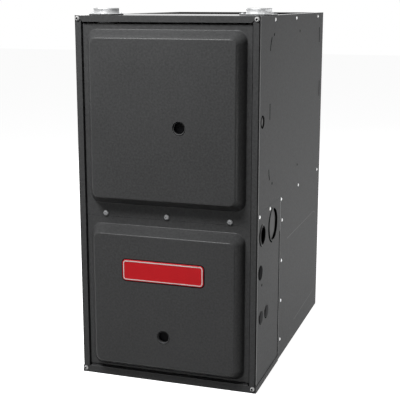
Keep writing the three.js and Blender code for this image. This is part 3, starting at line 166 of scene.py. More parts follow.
def finish(name, colour, roughness, metallic=0.0, specular=0.5, mottle=(9.0, 0.1), grain=(900.0, 0.00003),
           spread=0.08, wear_and_highlight=None, cells=None, brushed=None, speckle=0.0, facing=None):
    """A material with uneven colour, uneven gloss and fine relief.

    mottle is the scale and strength of the uneven colour, grain the scale and height of the relief,
    wear_and_highlight the colour and strength of lighter edges, partly rubbed paint and partly a painted
    edge highlight, cells the scale of zinc spangles, and brushed the stretch of brush marks along each axis.
    speckle is the strength of fine light and dark grains. facing is how much rougher the faces are that
    look to either side, and how much smoother those that look up.
    """
    material = bpy.data.materials.new(name)
    material.use_nodes = True
    tree = material.node_tree
    tree.nodes.clear()
    where = node(tree, "TexCoord").outputs["Object"]
    shader = node(tree, "BsdfPrincipled", {
        "Metallic": metallic, "Specular IOR Level": specular,
    })
    broad = node(tree, "TexNoise", {"Vector": where, "Scale": mottle[0], "Detail": 4.0, "Roughness": 0.6})
    tone = node(tree, "MapRange", {"Value": broad.outputs[0], "From Min": 0.3, "From Max": 0.7,
                                   "To Min": 1 - mottle[1], "To Max": 1 + mottle[1]}).outputs[0]
    if cells:
        spangle = node(tree, "TexVoronoi", {"Vector": where, "Scale": cells}).outputs["Color"]
        bright = node(tree, "SeparateColor", {0: spangle}).outputs[0]
        tone = maths(tree, "MULTIPLY", tone, node(tree, "MapRange", {"Value": bright, "To Min": 0.78,
                                                                    "To Max": 1.12}).outputs[0])
    fine_where = where
    if brushed:
        fine_where = node(tree, "VectorMath", {0: where, 1: brushed}, operation="MULTIPLY").outputs[0]
    fine = node(tree, "TexNoise", {"Vector": fine_where, "Scale": grain[0], "Detail": 2.0}).outputs[0]
    if brushed:
        tone = maths(tree, "MULTIPLY", tone, node(tree, "MapRange", {"Value": fine, "To Min": 0.88,
                                                                    "To Max": 1.12}).outputs[0])
    if speckle:
        grains = node(tree, "TexNoise", {"Vector": where, "Scale": 210.0, "Detail": 2.0}).outputs[0]
        tone = maths(tree, "MULTIPLY", tone, node(tree, "MapRange", {
            "Value": grains, "From Min": 0.3, "From Max": 0.7, "To Min": 1 - speckle, "To Max": 1 + speckle,
        }).outputs[0])
    shade = node(tree, "VectorMath", {0: colour, "Scale": tone}, operation="SCALE").outputs[0]
    gloss = node(tree, "MapRange", {"Value": broad.outputs[0], "To Min": roughness - spread,
                                    "To Max": roughness + spread}).outputs[0]
    gloss = maths(tree, "MULTIPLY_ADD", fine, 0.06, gloss, clamp=True)
    if facing:
        normal = node(tree, "SeparateXYZ", {0: node(tree, "NewGeometry").outputs["True Normal"]}).outputs
        sideways = node(tree, "MapRange", {"Value": maths(tree, "ABSOLUTE", normal[0]), "From Min": 0.9})
        upwards = node(tree, "MapRange", {"Value": normal[2], "From Min": 0.9})
        gloss = maths(tree, "MULTIPLY_ADD", sideways.outputs[0], facing[0], gloss)
        gloss = maths(tree, "MULTIPLY_ADD", upwards.outputs[0], -facing[1], gloss, clamp=True)
    # Lighter edges: partly rubbed paint, partly a painted highlight along every edge.
    if wear_and_highlight:
        rub_and_highlight = maths(tree, "MULTIPLY", edge_mask(tree, 0.0012), maths(tree, "MULTIPLY", broad.outputs[0], wear_and_highlight[1]))
        shade = colours(tree, rub_and_highlight, shade, wear_and_highlight[0])
    tree.links.new(shade, shader.inputs["Base Color"])
    tree.links.new(gloss, shader.inputs["Roughness"])
    bump = node(tree, "Bump", {"Height": fine, "Strength": 1.0, "Distance": grain[1]})
    tree.links.new(bump.outputs[0], shader.inputs["Normal"])
    node(tree, "OutputMaterial", {"Surface": shader.outputs[0]})
    return material


PAINT = (0.05, 0.0505, 0.0512)
FINISHES = {
    "cabinet_paint": finish("cabinet_paint", PAINT, 0.3, specular=0.14, mottle=(5.0, 0.07), grain=(300.0, 0.00012),
                            spread=0.05, wear_and_highlight=((0.16, 0.16, 0.165), 0.6), speckle=0.17, facing=(0.36, 0.2)),
    "galvanised_steel": finish("galvanised_steel", (0.5, 0.505, 0.51), 0.52, metallic=0.5, mottle=(14.0, 0.08),
                               cells=90.0, spread=0.1, grain=(500.0, 0.00003), wear_and_highlight=((0.7, 0.7, 0.7), 0.4)),
    "aluminised_steel": finish("aluminised_steel", (0.36, 0.36, 0.35), 0.6, metallic=0.5, mottle=(20.0, 0.12),
                               spread=0.1, wear_and_highlight=((0.5, 0.5, 0.5), 0.3)),
    "coil_aluminium": finish("coil_aluminium", (0.66, 0.67, 0.68), 0.38, metallic=0.9, brushed=(1.0, 1.0, 0.05),
                             grain=(900.0, 0.00003)),
    "cast_metal": finish("cast_metal", (0.4, 0.41, 0.42), 0.6, metallic=0.6, mottle=(30.0, 0.1),
                         grain=(1600.0, 0.00008), wear_and_highlight=((0.6, 0.6, 0.6), 0.4)),
    "zinc_screw": finish("zinc_screw", (0.5, 0.51, 0.52), 0.45, metallic=0.7, mottle=(160.0, 0.12),
                         grain=(3000.0, 0.00002), wear_and_highlight=((0.7, 0.7, 0.7), 0.5)),
    "black_pipe": finish("black_pipe", (0.035, 0.034, 0.033), 0.6, specular=0.4, mottle=(25.0, 0.2),
                         grain=(1200.0, 0.00005), wear_and_highlight=((0.12, 0.11, 0.1), 0.5)),
    "black_plastic": finish("black_plastic", (0.022, 0.022, 0.025), 0.5, mottle=(12.0, 0.08),
                            grain=(2200.0, 0.00003), wear_and_highlight=((0.06, 0.06, 0.065), 0.4)),
    "white_plastic": finish("white_plastic", (0.68, 0.67, 0.63), 0.42, mottle=(9.0, 0.04), grain=(700.0, 0.00002)),
    "black_rubber": finish("black_rubber", (0.018, 0.018, 0.018), 0.85, specular=0.3, mottle=(30.0, 0.15),
                           grain=(1800.0, 0.00008)),
    "name_plate": finish("name_plate", (0.6, 0.01, 0.016), 0.45, specular=0.25, mottle=(16.0, 0.06),
                         grain=(900.0, 0.00001), spread=0.04),
    "sight_glass": finish("sight_glass", (0.003, 0.003, 0.0035), 0.45, specular=0.04, mottle=(20.0, 0.2),
                          grain=(600.0, 0.00001), spread=0.05),
    "ceramic": finish("ceramic", (0.74, 0.71, 0.64), 0.7, mottle=(60.0, 0.06), grain=(2500.0, 0.00005)),
    "motor_paint": finish("motor_paint", (0.045, 0.047, 0.05), 0.45, mottle=(10.0, 0.1), grain=(900.0, 0.00004),
                          wear_and_highlight=((0.2, 0.2, 0.2), 0.4)),
    "circuit_board": finish("circuit_board", (0.028, 0.13, 0.045), 0.45, mottle=(40.0, 0.12), cells=220.0,
                            grain=(900.0, 0.00004)),
}
FASTENER = finish("fastener_steel", (0.27, 0.275, 0.28), 0.5, metallic=0.5, mottle=(200.0, 0.12), grain=(3000.0, 0.00002))
SCORED_AND_SHADE = finish("scored_line_and_painted_shade", (0.003, 0.003, 0.003), 0.9, specular=0.0, mottle=(60.0, 0.2), grain=(2000.0, 0.00002))
SHADE = finish("plug_black_and_painted_shade", (0.008, 0.008, 0.0085), 0.8, specular=0.02, mottle=(90.0, 0.3), grain=(1200.0, 0.00005))
KNOCKOUT_SHADE = finish("knockout_painted_shade", (0.036, 0.036, 0.037), 0.8, specular=0.05, mottle=(60.0, 0.2), grain=(900.0, 0.00005))
CORNER_SHADE = finish("corner_painted_shade", (0.018, 0.018, 0.018), 0.85, specular=0.03, mottle=(60.0, 0.2), grain=(900.0, 0.00005))
LIGHTER = finish("lighter_paint", (0.085, 0.085, 0.086), 0.6, specular=0.14, mottle=(20.0, 0.1), grain=(700.0, 0.00005))
RAIL_HIGHLIGHT = finish("rail_painted_highlight", (0.11, 0.11, 0.112), 0.4, specular=0.2, mottle=(60.0, 0.2), grain=(900.0, 0.00003))
FOLD_HIGHLIGHT = finish("fold_painted_highlight", (0.2, 0.2, 0.2), 0.5, specular=0.2, mottle=(60.0, 0.15), grain=(2000.0, 0.00002))
CORNER_ZINC = finish("corner_screw_zinc", (0.4, 0.4, 0.4), 0.5, metallic=0.5, mottle=(200.0, 0.15), grain=(3000.0, 0.00002))
SIDE_ZINC = finish("side_screw_zinc", (0.85, 0.85, 0.85), 0.3, metallic=0.8, mottle=(160.0, 0.1), grain=(3000.0, 0.00002))
SILVER = finish("silver_border", (0.5, 0.5, 0.49), 0.4, metallic=0.3, mottle=(60.0, 0.06), grain=(2500.0, 0.00001))

SLOT_OF = {
    "cabinet_paint": ["cabinet_wrapper", "corner_panel_left", "corner_panel_right", "top_panel", "base_rail"],
    "galvanised_steel": ["bottom_pan", "blower_deck", "burner_bracket", "blower_housing", "blower_wheel",
                         "motor_mount", "control_panel", "junction_box"],
    "aluminised_steel": ["vestibule_panel", "burner_1", "burner_2", "burner_3", "primary_tube_1", "primary_tube_2",
                         "primary_tube_3", "rear_header"],
    "coil_aluminium": ["secondary_coil", "inducer_wheel"],
    "cast_metal": ["gas_valve", "transformer"],
    "black_pipe": ["gas_manifold"],
    "black_plastic": ["gas_valve_switch", "rollout_switch", "collector_box", "inducer_housing",
                      "condensate_trap", "pressure_switch", "door_switch"],
    "white_plastic": ["vent_pipe", "door_switch_plunger"],
    "black_rubber": ["vent_gasket", "intake_gasket"],
    "name_plate": ["rollout_reset_button"],
    "sight_glass": ["sight_glass_upper", "sight_glass_lower"],
    "ceramic": ["igniter", "flame_sensor"],
    "motor_paint": ["inducer_motor", "blower_motor"],
    "circuit_board": ["control_board"],
}
THIN = {"secondary_coil", "blower_wheel", "inducer_wheel", "sight_glass_upper", "sight_glass_lower",
        "vent_gasket", "intake_gasket"}


def dress_node(name, slot):
    """Gives a CAD node its material and slightly rounded edges."""
    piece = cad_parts[name]
    piece.data.materials.clear()
    piece.data.materials.append(FINISHES[slot])
    bevel = piece.modifiers.new("edges", "BEVEL")
    bevel.width = 0.0002 if name in THIN else 0.0004
    bevel.segments = 2
    bevel.limit_method = "ANGLE"
    bevel.angle_limit = math.radians(35)
    bevel.harden_normals = True


for slot, names in SLOT_OF.items():
    for name in names:
        dress_node(name, slot)


# ---------------------------------------------------------------- mesh helpers

def make_piece(name, body, slot, points, faces, materials=None, face_materials=None, sharp=32, replaces=()):
    mesh = bpy.data.meshes.new(name)
    mesh.from_pydata([tuple(p) for p in points], [], faces)
    for material in materials or [FINISHES[slot]]:
        mesh.materials.append(material)
    if face_materials:
        mesh.polygons.foreach_set("material_index", face_materials)
    mesh.polygons.foreach_set("use_smooth", [True] * len(mesh.polygons))
    mesh.set_sharp_from_angle(angle=math.radians(sharp))
    mesh.validate()
    piece = bpy.data.objects.new(name, mesh)
    bpy.context.scene.collection.objects.link(piece)
    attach(piece, body)
    if replaces:
        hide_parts(*replaces)
    return piece


def loft(rings, close_start=False, close_end=False):
    """Points and faces through rings of equal count, each end left open or closed with a fan."""
    count = len(rings[0])
    points = [p for ring in rings for p in ring]
    faces = []
    for k in range(len(rings) - 1):
        for i in range(count):
            j = (i + 1) % count
            faces.append((k * count + i, k * count + j, (k + 1) * count + j, (k + 1) * count + i))
    for closed, start, turn in ((close_start, 0, -1), (close_end, (len(rings) - 1) * count, 1)):
        if closed:
            ring = points[start:start + count]
            points.append(sum(ring, Vector()) / count)
            centre = len(points) - 1
            for i in range(count):
                a, b = start + i, start + (i + 1) % count
                faces.append((a, b, centre)[::turn])
    return points, faces


def join(*parts):
    """Several point and face lists as one."""
    points, faces = [], []
    for more, their in parts:
        faces += [tuple(i + len(points) for i in face) for face in their]
        points += more
    return points, faces


def arc(radius, start, end, steps, inset=0.0, depth=0.0):
    """Points (inset, depth) along an arc about a centre, angles in degrees."""
    return [(inset + radius * math.cos(math.radians(a)), depth + radius * math.sin(math.radians(a)))
            for a in (start + (end - start) * i / steps for i in range(steps + 1))]


def rounded_ring(left, right, bottom, top, radius, y, steps=8):
    """A rounded rectangle facing the front, counter-clockwise as seen from the front."""
    ring = []
    for cx, cz, quarter in ((right - radius, top - radius, 0), (left + radius, top - radius, 1),
                            (left + radius, bottom + radius, 2), (right - radius, bottom + radius, 3)):
        for i in range(steps + 1):
            angle = (quarter + i / steps) * math.pi / 2
            ring.append(place(cx + radius * math.cos(angle), y, cz + radius * math.sin(angle)))
    return ring


def screw_rings(radius, height, sides=24, hexagon=True, shank=0.0, dimple=0.2):
    """Rings (radius per angle, height) of a washer-head screw, standing on height 0."""
    def across(share):
        out = []
        for i in range(sides):
            angle = 2 * math.pi * i / sides
            lean = (angle % (math.pi / 3)) - math.pi / 6
            out.append(share * radius * (math.cos(math.pi / 6) / math.cos(lean) if hexagon else 1.0))
        return out
    round_ring = [radius] * sides
    body = across(0.74)
    washer = height * 0.28
    rings = [
        ([radius * 0.98] * sides, 0.0), (round_ring, washer * 0.5), ([radius * 0.96] * sides, washer),
        ([r * 1.06 for r in body], washer * 1.02), (body, washer * 1.25), (body, height * 0.86),
        ([r * 0.97 for r in body], height * 0.95), ([min(r, radius * 0.64) * 0.93 for r in body], height),
        ([radius * 0.46] * sides, height), ([radius * 0.38] * sides, height * (1 - dimple)),
    ]
    if shank:
        rings = [([shank * 0.6] * sides, -9.0), ([shank] * sides, -8.0), ([shank] * sides, 0.0)] + rings
    return rings


def stand(rings, centre, axis, turn=0.0):
    """Rings set up on a centre along an axis: '-y' towards the front, '+x' and '-x' out of the sides, '+z' up."""
    out = []
    for radii, height in rings:
        ring = []
        count = len(radii)
        for i, radius in enumerate(radii):
            angle = 2 * math.pi * i / count + turn
            u, v = radius * math.cos(angle), radius * math.sin(angle)
            offset = {"-y": (u, -height, v), "+x": (height, u, v), "-x": (-height, -u, v),
                      "+z": (u, v, height)}[axis]
            ring.append(place(*(c + o for c, o in zip(centre, offset))))
        out.append(ring)
    return out


# ---------------------------------------------------------------- doors

DOOR_HALF = 204.25
FLANGE_Y = 6.0
FACE_Y = -25.0
RETURN_Y = 20.0
SHEET = 1.2
FOOT_HALF = DOOR_HALF - 11.2
BEVEL = 18.0
FOOT_CORNER = 24.0
SIGHT_RADIUS = 15.0
SIGHT_BACK = -13.0


def door_profile():
    """(inset from the foot of the raised panel, depth) from the flange over the bevel to the face.

    The sheet turns off the flange with a tight inner bend and onto the face with a wider outer one.
    """
    run, rise = BEVEL, FLANGE_Y - FACE_Y
    slope = math.atan2(rise, run)
    inner, outer = 3.0, 5.0
    foot = inner * math.tan(slope / 2)
    crown = outer * math.tan(slope / 2)
    points = []
    for i in range(6):
        a = slope * i / 5
        points.append((-foot + inner * math.sin(a), FLANGE_Y - inner * (1 - math.cos(a))))
    for i in range(8):
        a = slope * (1 - i / 7)
        points.append((run + crown - outer * math.sin(a), FACE_Y + outer * (1 - math.cos(a))))
    return points


def door_skin(name, body, bottom, top, panel_bottom, panel_top, sight, tongue=None):
    """A raised-panel door pressed from one sheet, with folded edges and a sight hole drawn inwards."""
    def outline(inset, y, radius):
        return rounded_ring(-DOOR_HALF + inset, DOOR_HALF - inset, bottom + inset, top - inset, radius, y)

    rings = [outline(0.0, RETURN_Y, 1.2), outline(0.0, FLANGE_Y + 0.6, 1.2)]
    rings += [outline(0.5 - 0.5 * math.cos(a), FLANGE_Y + 0.5 - 0.5 * math.sin(a), 1.3)
              for a in (math.radians(x) for x in (30, 60, 90))]
    for inset, y in door_profile():
        corner = max(FOOT_CORNER - inset * 0.5, 9.0)
        rings.append(rounded_ring(-FOOT_HALF + inset, FOOT_HALF - inset, panel_bottom + inset,
                                  panel_top - inset, corner, y))
    points, faces = loft(rings)
    count = len(rings[0])
    start = len(points) - count
    edge = points[start:]
    x, z = sight
    hole_profile = [(SIGHT_RADIUS + 1.8, FACE_Y), (SIGHT_RADIUS + 0.9, FACE_Y + 0.22), (SIGHT_RADIUS + 0.27, FACE_Y + 0.75),
                    (SIGHT_RADIUS, FACE_Y + 1.6), (SIGHT_RADIUS, SIGHT_BACK)]
    hole = [[place(x + r * math.cos(2 * math.pi * i / 48), y, z + r * math.sin(2 * math.pi * i / 48))
             for i in range(48)] for r, y in hole_profile]
    # The flat face between its edge and the hole's rim.
    rim = hole[0]
    offset = len(points)
    for ring in hole:
        points += ring
    index = list(range(start, start + count)) + list(range(offset, offset + 48))
    for a, b, c in tessellate_polygon([edge, rim[::-1]]):
        order = index[:count] + index[count:][::-1]
        tri = (order[a], order[b], order[c])
        normal = (points[tri[1]] - points[tri[0]]).cross(points[tri[2]] - points[tri[0]])
        faces.append(tri if normal.y < 0 else tri[::-1])
    for k in range(len(hole) - 1):
        for i in range(48):
            j = (i + 1) % 48
            a, b = offset + k * 48, offset + (k + 1) * 48
            faces.append((a + j, a + i, b + i, b + j))
    if tongue:
        x0, x1, low, high = tongue
        y0, y1 = RETURN_Y - SHEET / 2, RETURN_Y
        start = len(points)
        points += [place(px, RETURN_Y, pz) for px, pz in ((x0, high), (x1, high), (x1, low), (x0, low))]
        faces.append((start, start + 3, start + 2, start + 1)[::-1])
    door = make_piece(name, body, "cabinet_paint", points, faces, sharp=40, replaces=[name.replace("_skin", "")])
    solid = door.modifiers.new("sheet", "SOLIDIFY")
    solid.thickness = SHEET * MM
    solid.offset = -1
    solid.use_even_offset = True
    weighted = door.modifiers.new("normals", "WEIGHTED_NORMAL")
    weighted.keep_sharp = True
    return door


UPPER = (402.55, 857.3)
LOWER = (21.7, 402.25)
UPPER_SIGHT = (41.7, 625.7)
LOWER_SIGHT = (0.0, 122.3)
door_skin("door_upper_skin", "upper_door", *UPPER, UPPER[0] + 33.7, UPPER[1] - 13.0, UPPER_SIGHT)
door_skin("door_lower_skin", "lower_door", *LOWER, LOWER[0] + 6.3, LOWER[1] - 17.1, LOWER_SIGHT,
          tongue=(138.0, 162.0, 380.0, 401.8))


# ---------------------------------------------------------------- name plate

def name_plate():
    """A bare red plate with a raised silver line just inside its red edge, on a near-black ring that is a painted
    shadow round it.
    """
    half, tall, middle = 101.5, 25.6, 282.4
    steps = [(0.0, -25.0, 0), (0.0, -26.2, 0), (0.25, -26.6, 0), (0.7, -26.75, 0), (2.2, -26.75, 0), (2.4, -27.0, 1),
             (4.4, -27.0, 1), (4.6, -26.6, 0), (6.0, -26.55, 0)]
    # A near-black ring just outside the plate: a painted shadow round its edge.
    shadow_ring = [rounded_ring(-half + s, half - s, middle - tall + s, middle + tall - s, 9.0 - s, y)
            for s, y in ((-2.4, FACE_Y), (-2.2, FACE_Y - 0.12), (0.2, FACE_Y - 0.12))]
    points, faces = loft(shadow_ring)
    make_piece("name_plate_shadow", "lower_door", "black_rubber", points, faces, materials=[SHADE], sharp=60)
    rings = [rounded_ring(-half + s, half - s, middle - tall + s, middle + tall - s, max(9.0 - s, 3.0), y)
             for s, y, _ in steps]
    points, faces = loft(rings, close_end=True)
    count = len(rings[0])
    kinds = [steps[k + 1][2] if steps[k][2] or steps[k + 1][2] else 0 for k in range(len(rings) - 1)]
    face_materials = [kind for kind in kinds for _ in range(count)] + [0] * count
    make_piece("name_plate_bare", "lower_door", "name_plate", points, faces,
               materials=[FINISHES["name_plate"], SILVER], face_materials=face_materials, sharp=50,
               replaces=["name_plate"])


name_plate()


# ---------------------------------------------------------------- fasteners and screws

def fastener(name, x):
    """Quarter-turn fastener: a domed head with a four-lobed recess, and its shank."""
    sides = 32
    under = 5.7
    base = [([2.6] * sides, -6.2), ([2.6] * sides, 0.0), ([6.5] * sides, 0.0), ([6.8] * sides, 0.35)]
    dome = [([r] * sides, h) for r, h in ((6.75, 1.2), (6.35, 2.3), (5.5, 3.35), (4.4, 4.15), (3.4, 4.6))]

    def lobed(radius, height):
        return [radius * (1 + 0.22 * math.cos(4 * 2 * math.pi * i / sides)) for i in range(sides)], height
    recess = [lobed(2.5, 4.75), lobed(2.1, 4.5), lobed(1.7, 3.2)]
    rings = stand(base + dome + recess, (x, under, 410.5), "-y")
    points, faces = loft(rings, close_start=True, close_end=True)
    make_piece(f"{name}_head", name.replace("door_fastener_", "") + "_fastener", "zinc_screw", points, faces,
               materials=[FASTENER], sharp=42, replaces=[name])


for word, x in (("left", -155.2), ("centre", 0.0), ("right", 155.2)):
    fastener("door_fastener_" + word, x)


def corner_screws():
    for word, side in (("left", -1), ("right", 1)):
        for level, z, face in (("top", 869.1, 0.0), ("base", 10.8, -1.5)):
            rings = stand(screw_rings(5.4, 4.6, shank=2.0, dimple=0.7), (side * 215.05, face, z), "-y", turn=0.3 * side + z)
            points, faces = loft(rings, close_start=True, close_end=True)
            count = len(rings[0])
            # The dimple's wall and floor take the near-black material: a painted shade in the recess.
            kinds = [0] * (len(faces) - count) + [1] * count
            kinds[count * (len(rings) - 2):count * (len(rings) - 1)] = [1] * count
            node_name = f"corner_screw_{level}_{word}"
            make_piece(node_name + "_head", "cabinet", "zinc_screw", points, faces, materials=[CORNER_ZINC, SHADE],
                       face_materials=kinds, sharp=35, replaces=[node_name])


corner_screws()

def rail_edges():
    """A painted highlight along the top edge of the base rail, and the low upstand that closes the gap under the lower
    door.
    """
    ends = [(-206.0, 14.6), (-202.0, 18.6), (202.0, 18.6), (206.0, 14.6)]
    rings = [[place(x, y, z + dz) for y, dz in ((-1.3, 0.3), (-1.58, 0.1), (-1.6, -0.5), (-1.5, -0.9))] for x, z in ends]
    points = [p for ring in rings for p in ring]
    faces = [(k * 4 + i, k * 4 + i + 1, k * 4 + i + 5, k * 4 + i + 4)[::-1] for k in range(3) for i in range(3)]
    make_piece("base_rail_painted_highlight", "cabinet", "cabinet_paint", points, faces, materials=[RAIL_HIGHLIGHT], sharp=60)
    rings = [[place(x, y, z) for y, z in ((4.9, 18.8), (4.9, 20.4), (5.4, 20.4), (5.4, 18.8))] for x in (-201.0, 201.0)]
    points, faces = loft(rings, close_start=True, close_end=True)
    make_piece("base_rail_upstand", "cabinet", "cabinet_paint", points, faces, sharp=30)


rail_edges()

SIDE_SCREWS = [(138.4, 866.5), (361.0, 866.5), (632.7, 866.5), (18.0, 424.0), (114.4, 424.0), (228.9, 424.0),
               (423.1, 424.0), (675.1, 424.0), (240.8, 368.0), (240.8, 262.4), (240.8, 155.8), (240.8, 50.5)]


def side_screws():
    for word, side, axis in (("left", -1, "-x"), ("right", 1, "+x")):
        parts = []
        for i, (y, z) in enumerate(SIDE_SCREWS):
            rings = stand(screw_rings(4.3, 1.45), (side * 222.25, y, z), axis, turn=i * 0.7)
            parts.append(loft(rings, close_end=True))
        points, faces = join(*parts)
        make_piece(f"side_screws_{word}", "cabinet", "zinc_screw", points, faces, materials=[SIDE_ZINC], sharp=35)


side_screws()


# ---------------------------------------------------------------- marks pressed or scored into the sides, with painted shade and painted light

SCORES = [
    [(108.7, 826.7), (101.0, 815.0), (97.0, 806.0), (95.7, 796.4)],
    [(99.0, 676.0), (99.0, 638.5)],
    [(96.5, 521.9), (99.0, 508.0), (105.0, 495.0)],
]
RETURN_OUTLINE = [(302.0, 305.0), (639.0, 305.0), (668.0, 296.0), (679.0, 270.0), (678.6, 78.0), (668.0, 62.0),
                  (648.6, 56.0), (404.0, 50.0)]
REAR_MARKS = [[(660.5, 836.0), (664.0, 794.0)], [(677.0, 684.0), (676.7, 640.0)]]
CONDUITS = [(42.0, 176.0), (93.5, 175.0)]
DOTS = [(129.5, 832.4), (130.0, 482.5), (404.7, 832.4), (404.7, 482.8), (46.5, 254.0)]


def ribbon(line, side, width, proud, tall=None):
    """A low ridge along a line on the side: points (y, z) in millimetres, tall its width where it runs level."""
    tall = tall or width
    rings = []
    for k, (y, z) in enumerate(line):
        before, after = Vector(line[max(k - 1, 0)]), Vector(line[min(k + 1, len(line) - 1)])
        along = (after - before).normalized()
        across = Vector((-along.y, along.x))
        ring = []
        for share, height in ((-0.5, 0.0), (-0.3, 0.8), (0.0, 1.0), (0.3, 0.8), (0.5, 0.0)):
            ring.append(place(side * (222.25 + proud * height), y + across.x * width * share,
                              z + across.y * tall * share))
        rings.append(ring if side > 0 else ring[::-1])
    points = [p for ring in rings for p in ring]
    faces = [(k * 5 + i, k * 5 + i + 1, (k + 1) * 5 + i + 1, (k + 1) * 5 + i)
             for k in range(len(rings) - 1) for i in range(4)]
    return points, faces


def circle_line(y, z, radius, steps=48, start=0, end=360):
    angles = [math.radians(start + (end - start) * i / steps) for i in range(steps + 1)]
    return [(y + radius * math.cos(a), z + radius * math.sin(a)) for a in angles]


def corner_shadows():
    """A painted shade along the tight fold down each front corner, which no lamp reaches."""
    for word, side in (("left", -1), ("right", 1)):
        angles = [math.radians(a) for a in (-88, -70, -52, -34, -20)]
        rings = [[place(side * (219.85 + 2.46 * math.cos(a)), 2.4 + 2.46 * math.sin(a), z) for a in angles]
                 for z in (17.0, 430.0, 875.5)]
        points = [p for ring in rings for p in ring]
        faces = [(k * 5 + i, k * 5 + i + 1, k * 5 + i + 6, k * 5 + i + 5)[::side] for k in range(2) for i in range(4)]
        make_piece(f"corner_fold_painted_shade_{word}", "cabinet", "cabinet_paint", points, faces, materials=[CORNER_SHADE], sharp=60)


corner_shadows()


def drain_rings_and_shade():
    """A thin rubber grommet round each drain hole, standing on its pressed boss, in near-black: partly its own colour,
    partly a painted shade that darkens the hole's edge.
    """
    for word, side, axis in (("left", -1, "-x"), ("right", 1, "+x")):
        profile = [(22.0, 1.38), (21.9, 1.46), (19.2, 1.46), (18.9, 1.1), (18.9, -1.4), (19.4, -1.4)]
        points, faces = loft(stand([([r] * 40, h) for r, h in profile], (side * 222.25, 48.0, 375.0), axis))
        make_piece(f"drain_ring_shade_{word}", "cabinet", "black_rubber", points, faces, materials=[SHADE], sharp=60)


drain_rings_and_shade()


def side_marks_and_shade():
    for word, side, axis in (("left", -1, "-x"), ("right", 1, "+x")):
        dark = [ribbon(line, side, 5.0, 0.2) for line in SCORES]
        # A dark band along the lap seam: a painted shadow in the joint.
        dark.append(ribbon([(217.0, 17.0), (217.0, 345.0)], side, 8.0, 0.2))
        # Dark arcs beside the pipe cover, round the small knockout, left of the drain boss and low on the conduit
        # bosses: painted shade where their rims would cast shadow.
        dark.append(ribbon(circle_line(150.0, 378.0, 43.5, start=98, end=258), side, 14.0, 0.2, tall=2.0))
        dark.append(ribbon(circle_line(32.7, 641.0, 13.5), side, 6.5, 0.3, tall=3.0))
        dark.append(ribbon(circle_line(48.0, 375.0, 26.5, start=100, end=255), side, 12.0, 0.2, tall=2.0))
        dark += [ribbon(circle_line(y, z, 15.6, start=150, end=275), side, 8.0, 0.3, tall=4.0) for y, z in CONDUITS]
        dark += [ribbon(line, side, 7.0, 0.2) for line in REAR_MARKS]
        for y, z in DOTS:
            rings = stand([([3.6] * 12, 0.0), ([3.0] * 12, 0.25), ([1.0] * 12, 0.35)], (side * 222.25, y, z), axis)
            dark.append(loft(rings, close_end=True))
        points, faces = join(*dark)
        make_piece(f"side_marks_and_shade_{word}", "cabinet", "cabinet_paint", points, faces, materials=[SCORED_AND_SHADE], sharp=60)
        # Light lines just behind the lap seam and along the front corner's bend: painted highlights.
        light = [ribbon([(222.4, 17.0), (222.4, 431.5)], side, 2.6, 0.3), ribbon([(6.5, 17.0), (6.5, 874.0)], side, 3.0, 0.15)]
        points, faces = join(*light)
        make_piece(f"side_fold_highlights_{word}", "cabinet", "cabinet_paint", points, faces, materials=[FOLD_HIGHLIGHT], sharp=60)
        points, faces = ribbon(RETURN_OUTLINE, side, 2.2, 0.12)
        make_piece(f"side_outline_{word}", "cabinet", "cabinet_paint", points, faces, materials=[LIGHTER], sharp=60)
        cap = [([17.4] * 32, 0.0), ([17.4] * 32, 0.9), ([16.9] * 32, 1.3), ([16.2] * 32, 1.46), ([5.0] * 32, 1.46)]
        points, faces = loft(stand(cap, (side * 222.25, 30.5, 288.0), axis), close_end=True)
        make_piece(f"side_plug_{word}", "cabinet", "black_rubber", points, faces, materials=[SHADE], sharp=50)
        # Darker discs on the conduit knockouts: painted shade on their domed faces.
        caps = []
        for y, z in CONDUITS:
            disc = [([15.0] * 32, 1.38), ([14.6] * 32, 1.46), ([5.0] * 32, 1.46)]
            caps.append(loft(stand(disc, (side * 222.25, y, z), axis), close_end=True))
        points, faces = join(*caps)
        make_piece(f"side_knockouts_{word}", "cabinet", "cabinet_paint", points, faces, materials=[KNOCKOUT_SHADE], sharp=50)
        # Lighter discs in the pipe cover and the small knockout: painted light on their faces.
        discs = []
        for y, z, radius, depth in ((153.0, 378.0, 38.4, 5.9), (32.7, 641.0, 9.0, 1.5)):
            disc = [([radius] * 40, -depth), ([radius - 0.8] * 40, -depth + 0.3), ([5.0] * 40, -depth + 0.3)]
            discs.append(loft(stand(disc, (side * 222.25, y, z), axis), close_end=True))
        points, faces = join(*discs)
        make_piece(f"side_covers_painted_light_{word}", "cabinet", "cabinet_paint", points, faces, materials=[LIGHTER], sharp=50)


side_marks_and_shade()


# ---------------------------------------------------------------- collars

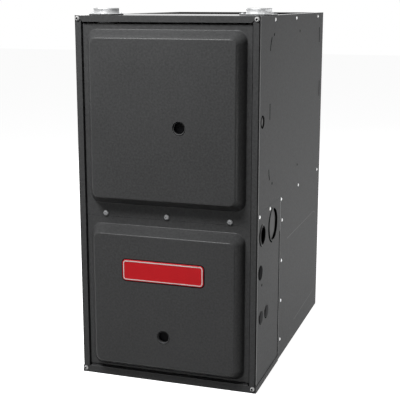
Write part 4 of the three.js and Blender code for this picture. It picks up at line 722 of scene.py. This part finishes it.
def collar(name, x, y, flange):
    """A spun collar with a rolled lip, on a flange that is cut off short of the cabinet's side."""
    sides = 64
    limit = 221.25
    top, sheet_top, sheet_bottom = 892.3, 879.3, 877.8
    tube = 30.15

    def ring(radius, z, clipped=False):
        out = []
        for i in range(sides):
            angle = 2 * math.pi * i / sides
            r = radius
            if clipped and abs(math.cos(angle)) > 1e-6:
                r = min(r, (limit - abs(x)) / abs(math.cos(angle))) if math.cos(angle) * x > 0 else r
            out.append(place(x + r * math.cos(angle), y + r * math.sin(angle), z))
        return out

    rings = [ring(tube, 851.3), ring(tube, sheet_bottom), ring(flange - 0.3, sheet_bottom, True),
             ring(flange, sheet_bottom + 0.4, True), ring(flange, sheet_top - 0.4, True),
             ring(flange - 0.4, sheet_top, True), ring(tube + 2.0, sheet_top), ring(tube + 0.6, sheet_top + 0.6),
             ring(tube - 0.2, sheet_top + 2.0), ring(tube - 0.2, top - 4.2), ring(tube, top - 3.6),
             ring(tube, top - 1.2), ring(tube - 0.5, top - 0.3), ring(tube - 1.4, top), ring(tube - 2.6, top),
             ring(26.9, top - 0.6), ring(26.25, top - 2.0), ring(26.25, 851.3)]
    rings.append(rings[0])
    points, faces = loft(rings[:-1])
    count, last = sides, (len(rings) - 2) * sides
    faces += [(last + i, last + (i + 1) % count, (i + 1) % count, i) for i in range(count)]
    make_piece(f"{name}_spun", "cabinet", "galvanised_steel", points, faces, sharp=38, replaces=[name])


collar("intake_collar", -169.0, 62.0, 40.5)
collar("vent_collar", 184.0, 134.0, 46.0)


def collar_screws():
    spots = {"intake": [(-205.0, 62.0), (-133.0, 62.0), (-169.0, 26.0), (-169.0, 98.0)],
             "vent": [(151.0, 110.0), (158.0, 166.0), (208.0, 168.0), (206.0, 98.0)]}
    for word, places in spots.items():
        parts = [loft(stand(screw_rings(3.6, 2.6), (x, y, 879.3), "+z", turn=x), close_end=True) for x, y in places]
        points, faces = join(*parts)
        make_piece(f"{word}_collar_screws", "cabinet", "zinc_screw", points, faces, sharp=35)


collar_screws()


# ---------------------------------------------------------------- pressure hose

def pressure_hose():
    """The hose between the collector box and the pressure switch, as one smooth curve."""
    a, b = Vector((-130.0, 161.4, 561.0)), Vector((-166.0, 179.4, 620.0))
    turns_at = a.y - 16.0
    middle = Vector(((a.x + b.x) / 2, turns_at, (a.z + b.z) / 2))
    half = Vector((a.x - middle.x, 0.0, a.z - middle.z))
    line = [a, Vector((a.x, (a.y + turns_at) / 2, a.z))]
    for i in range(25):
        angle = math.pi * i / 24
        line.append(middle + half * math.cos(angle) - Vector((0.0, half.length * math.sin(angle), 0.0)))
    line += [Vector((b.x, (b.y + turns_at) / 2, b.z)), b]
    curve = bpy.data.curves.new("pressure_hose_smooth", "CURVE")
    curve.dimensions = "3D"
    curve.bevel_depth = 4.0 * MM
    curve.bevel_resolution = 5
    spline = curve.splines.new("POLY")
    spline.points.add(len(line) - 1)
    for point, p in zip(spline.points, line):
        point.co = (*place(*p), 1)
    curve.materials.append(FINISHES["black_rubber"])
    hose = bpy.data.objects.new("pressure_hose_smooth", curve)
    bpy.context.scene.collection.objects.link(hose)
    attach(hose, "cabinet")
    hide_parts("pressure_hose")


pressure_hose()
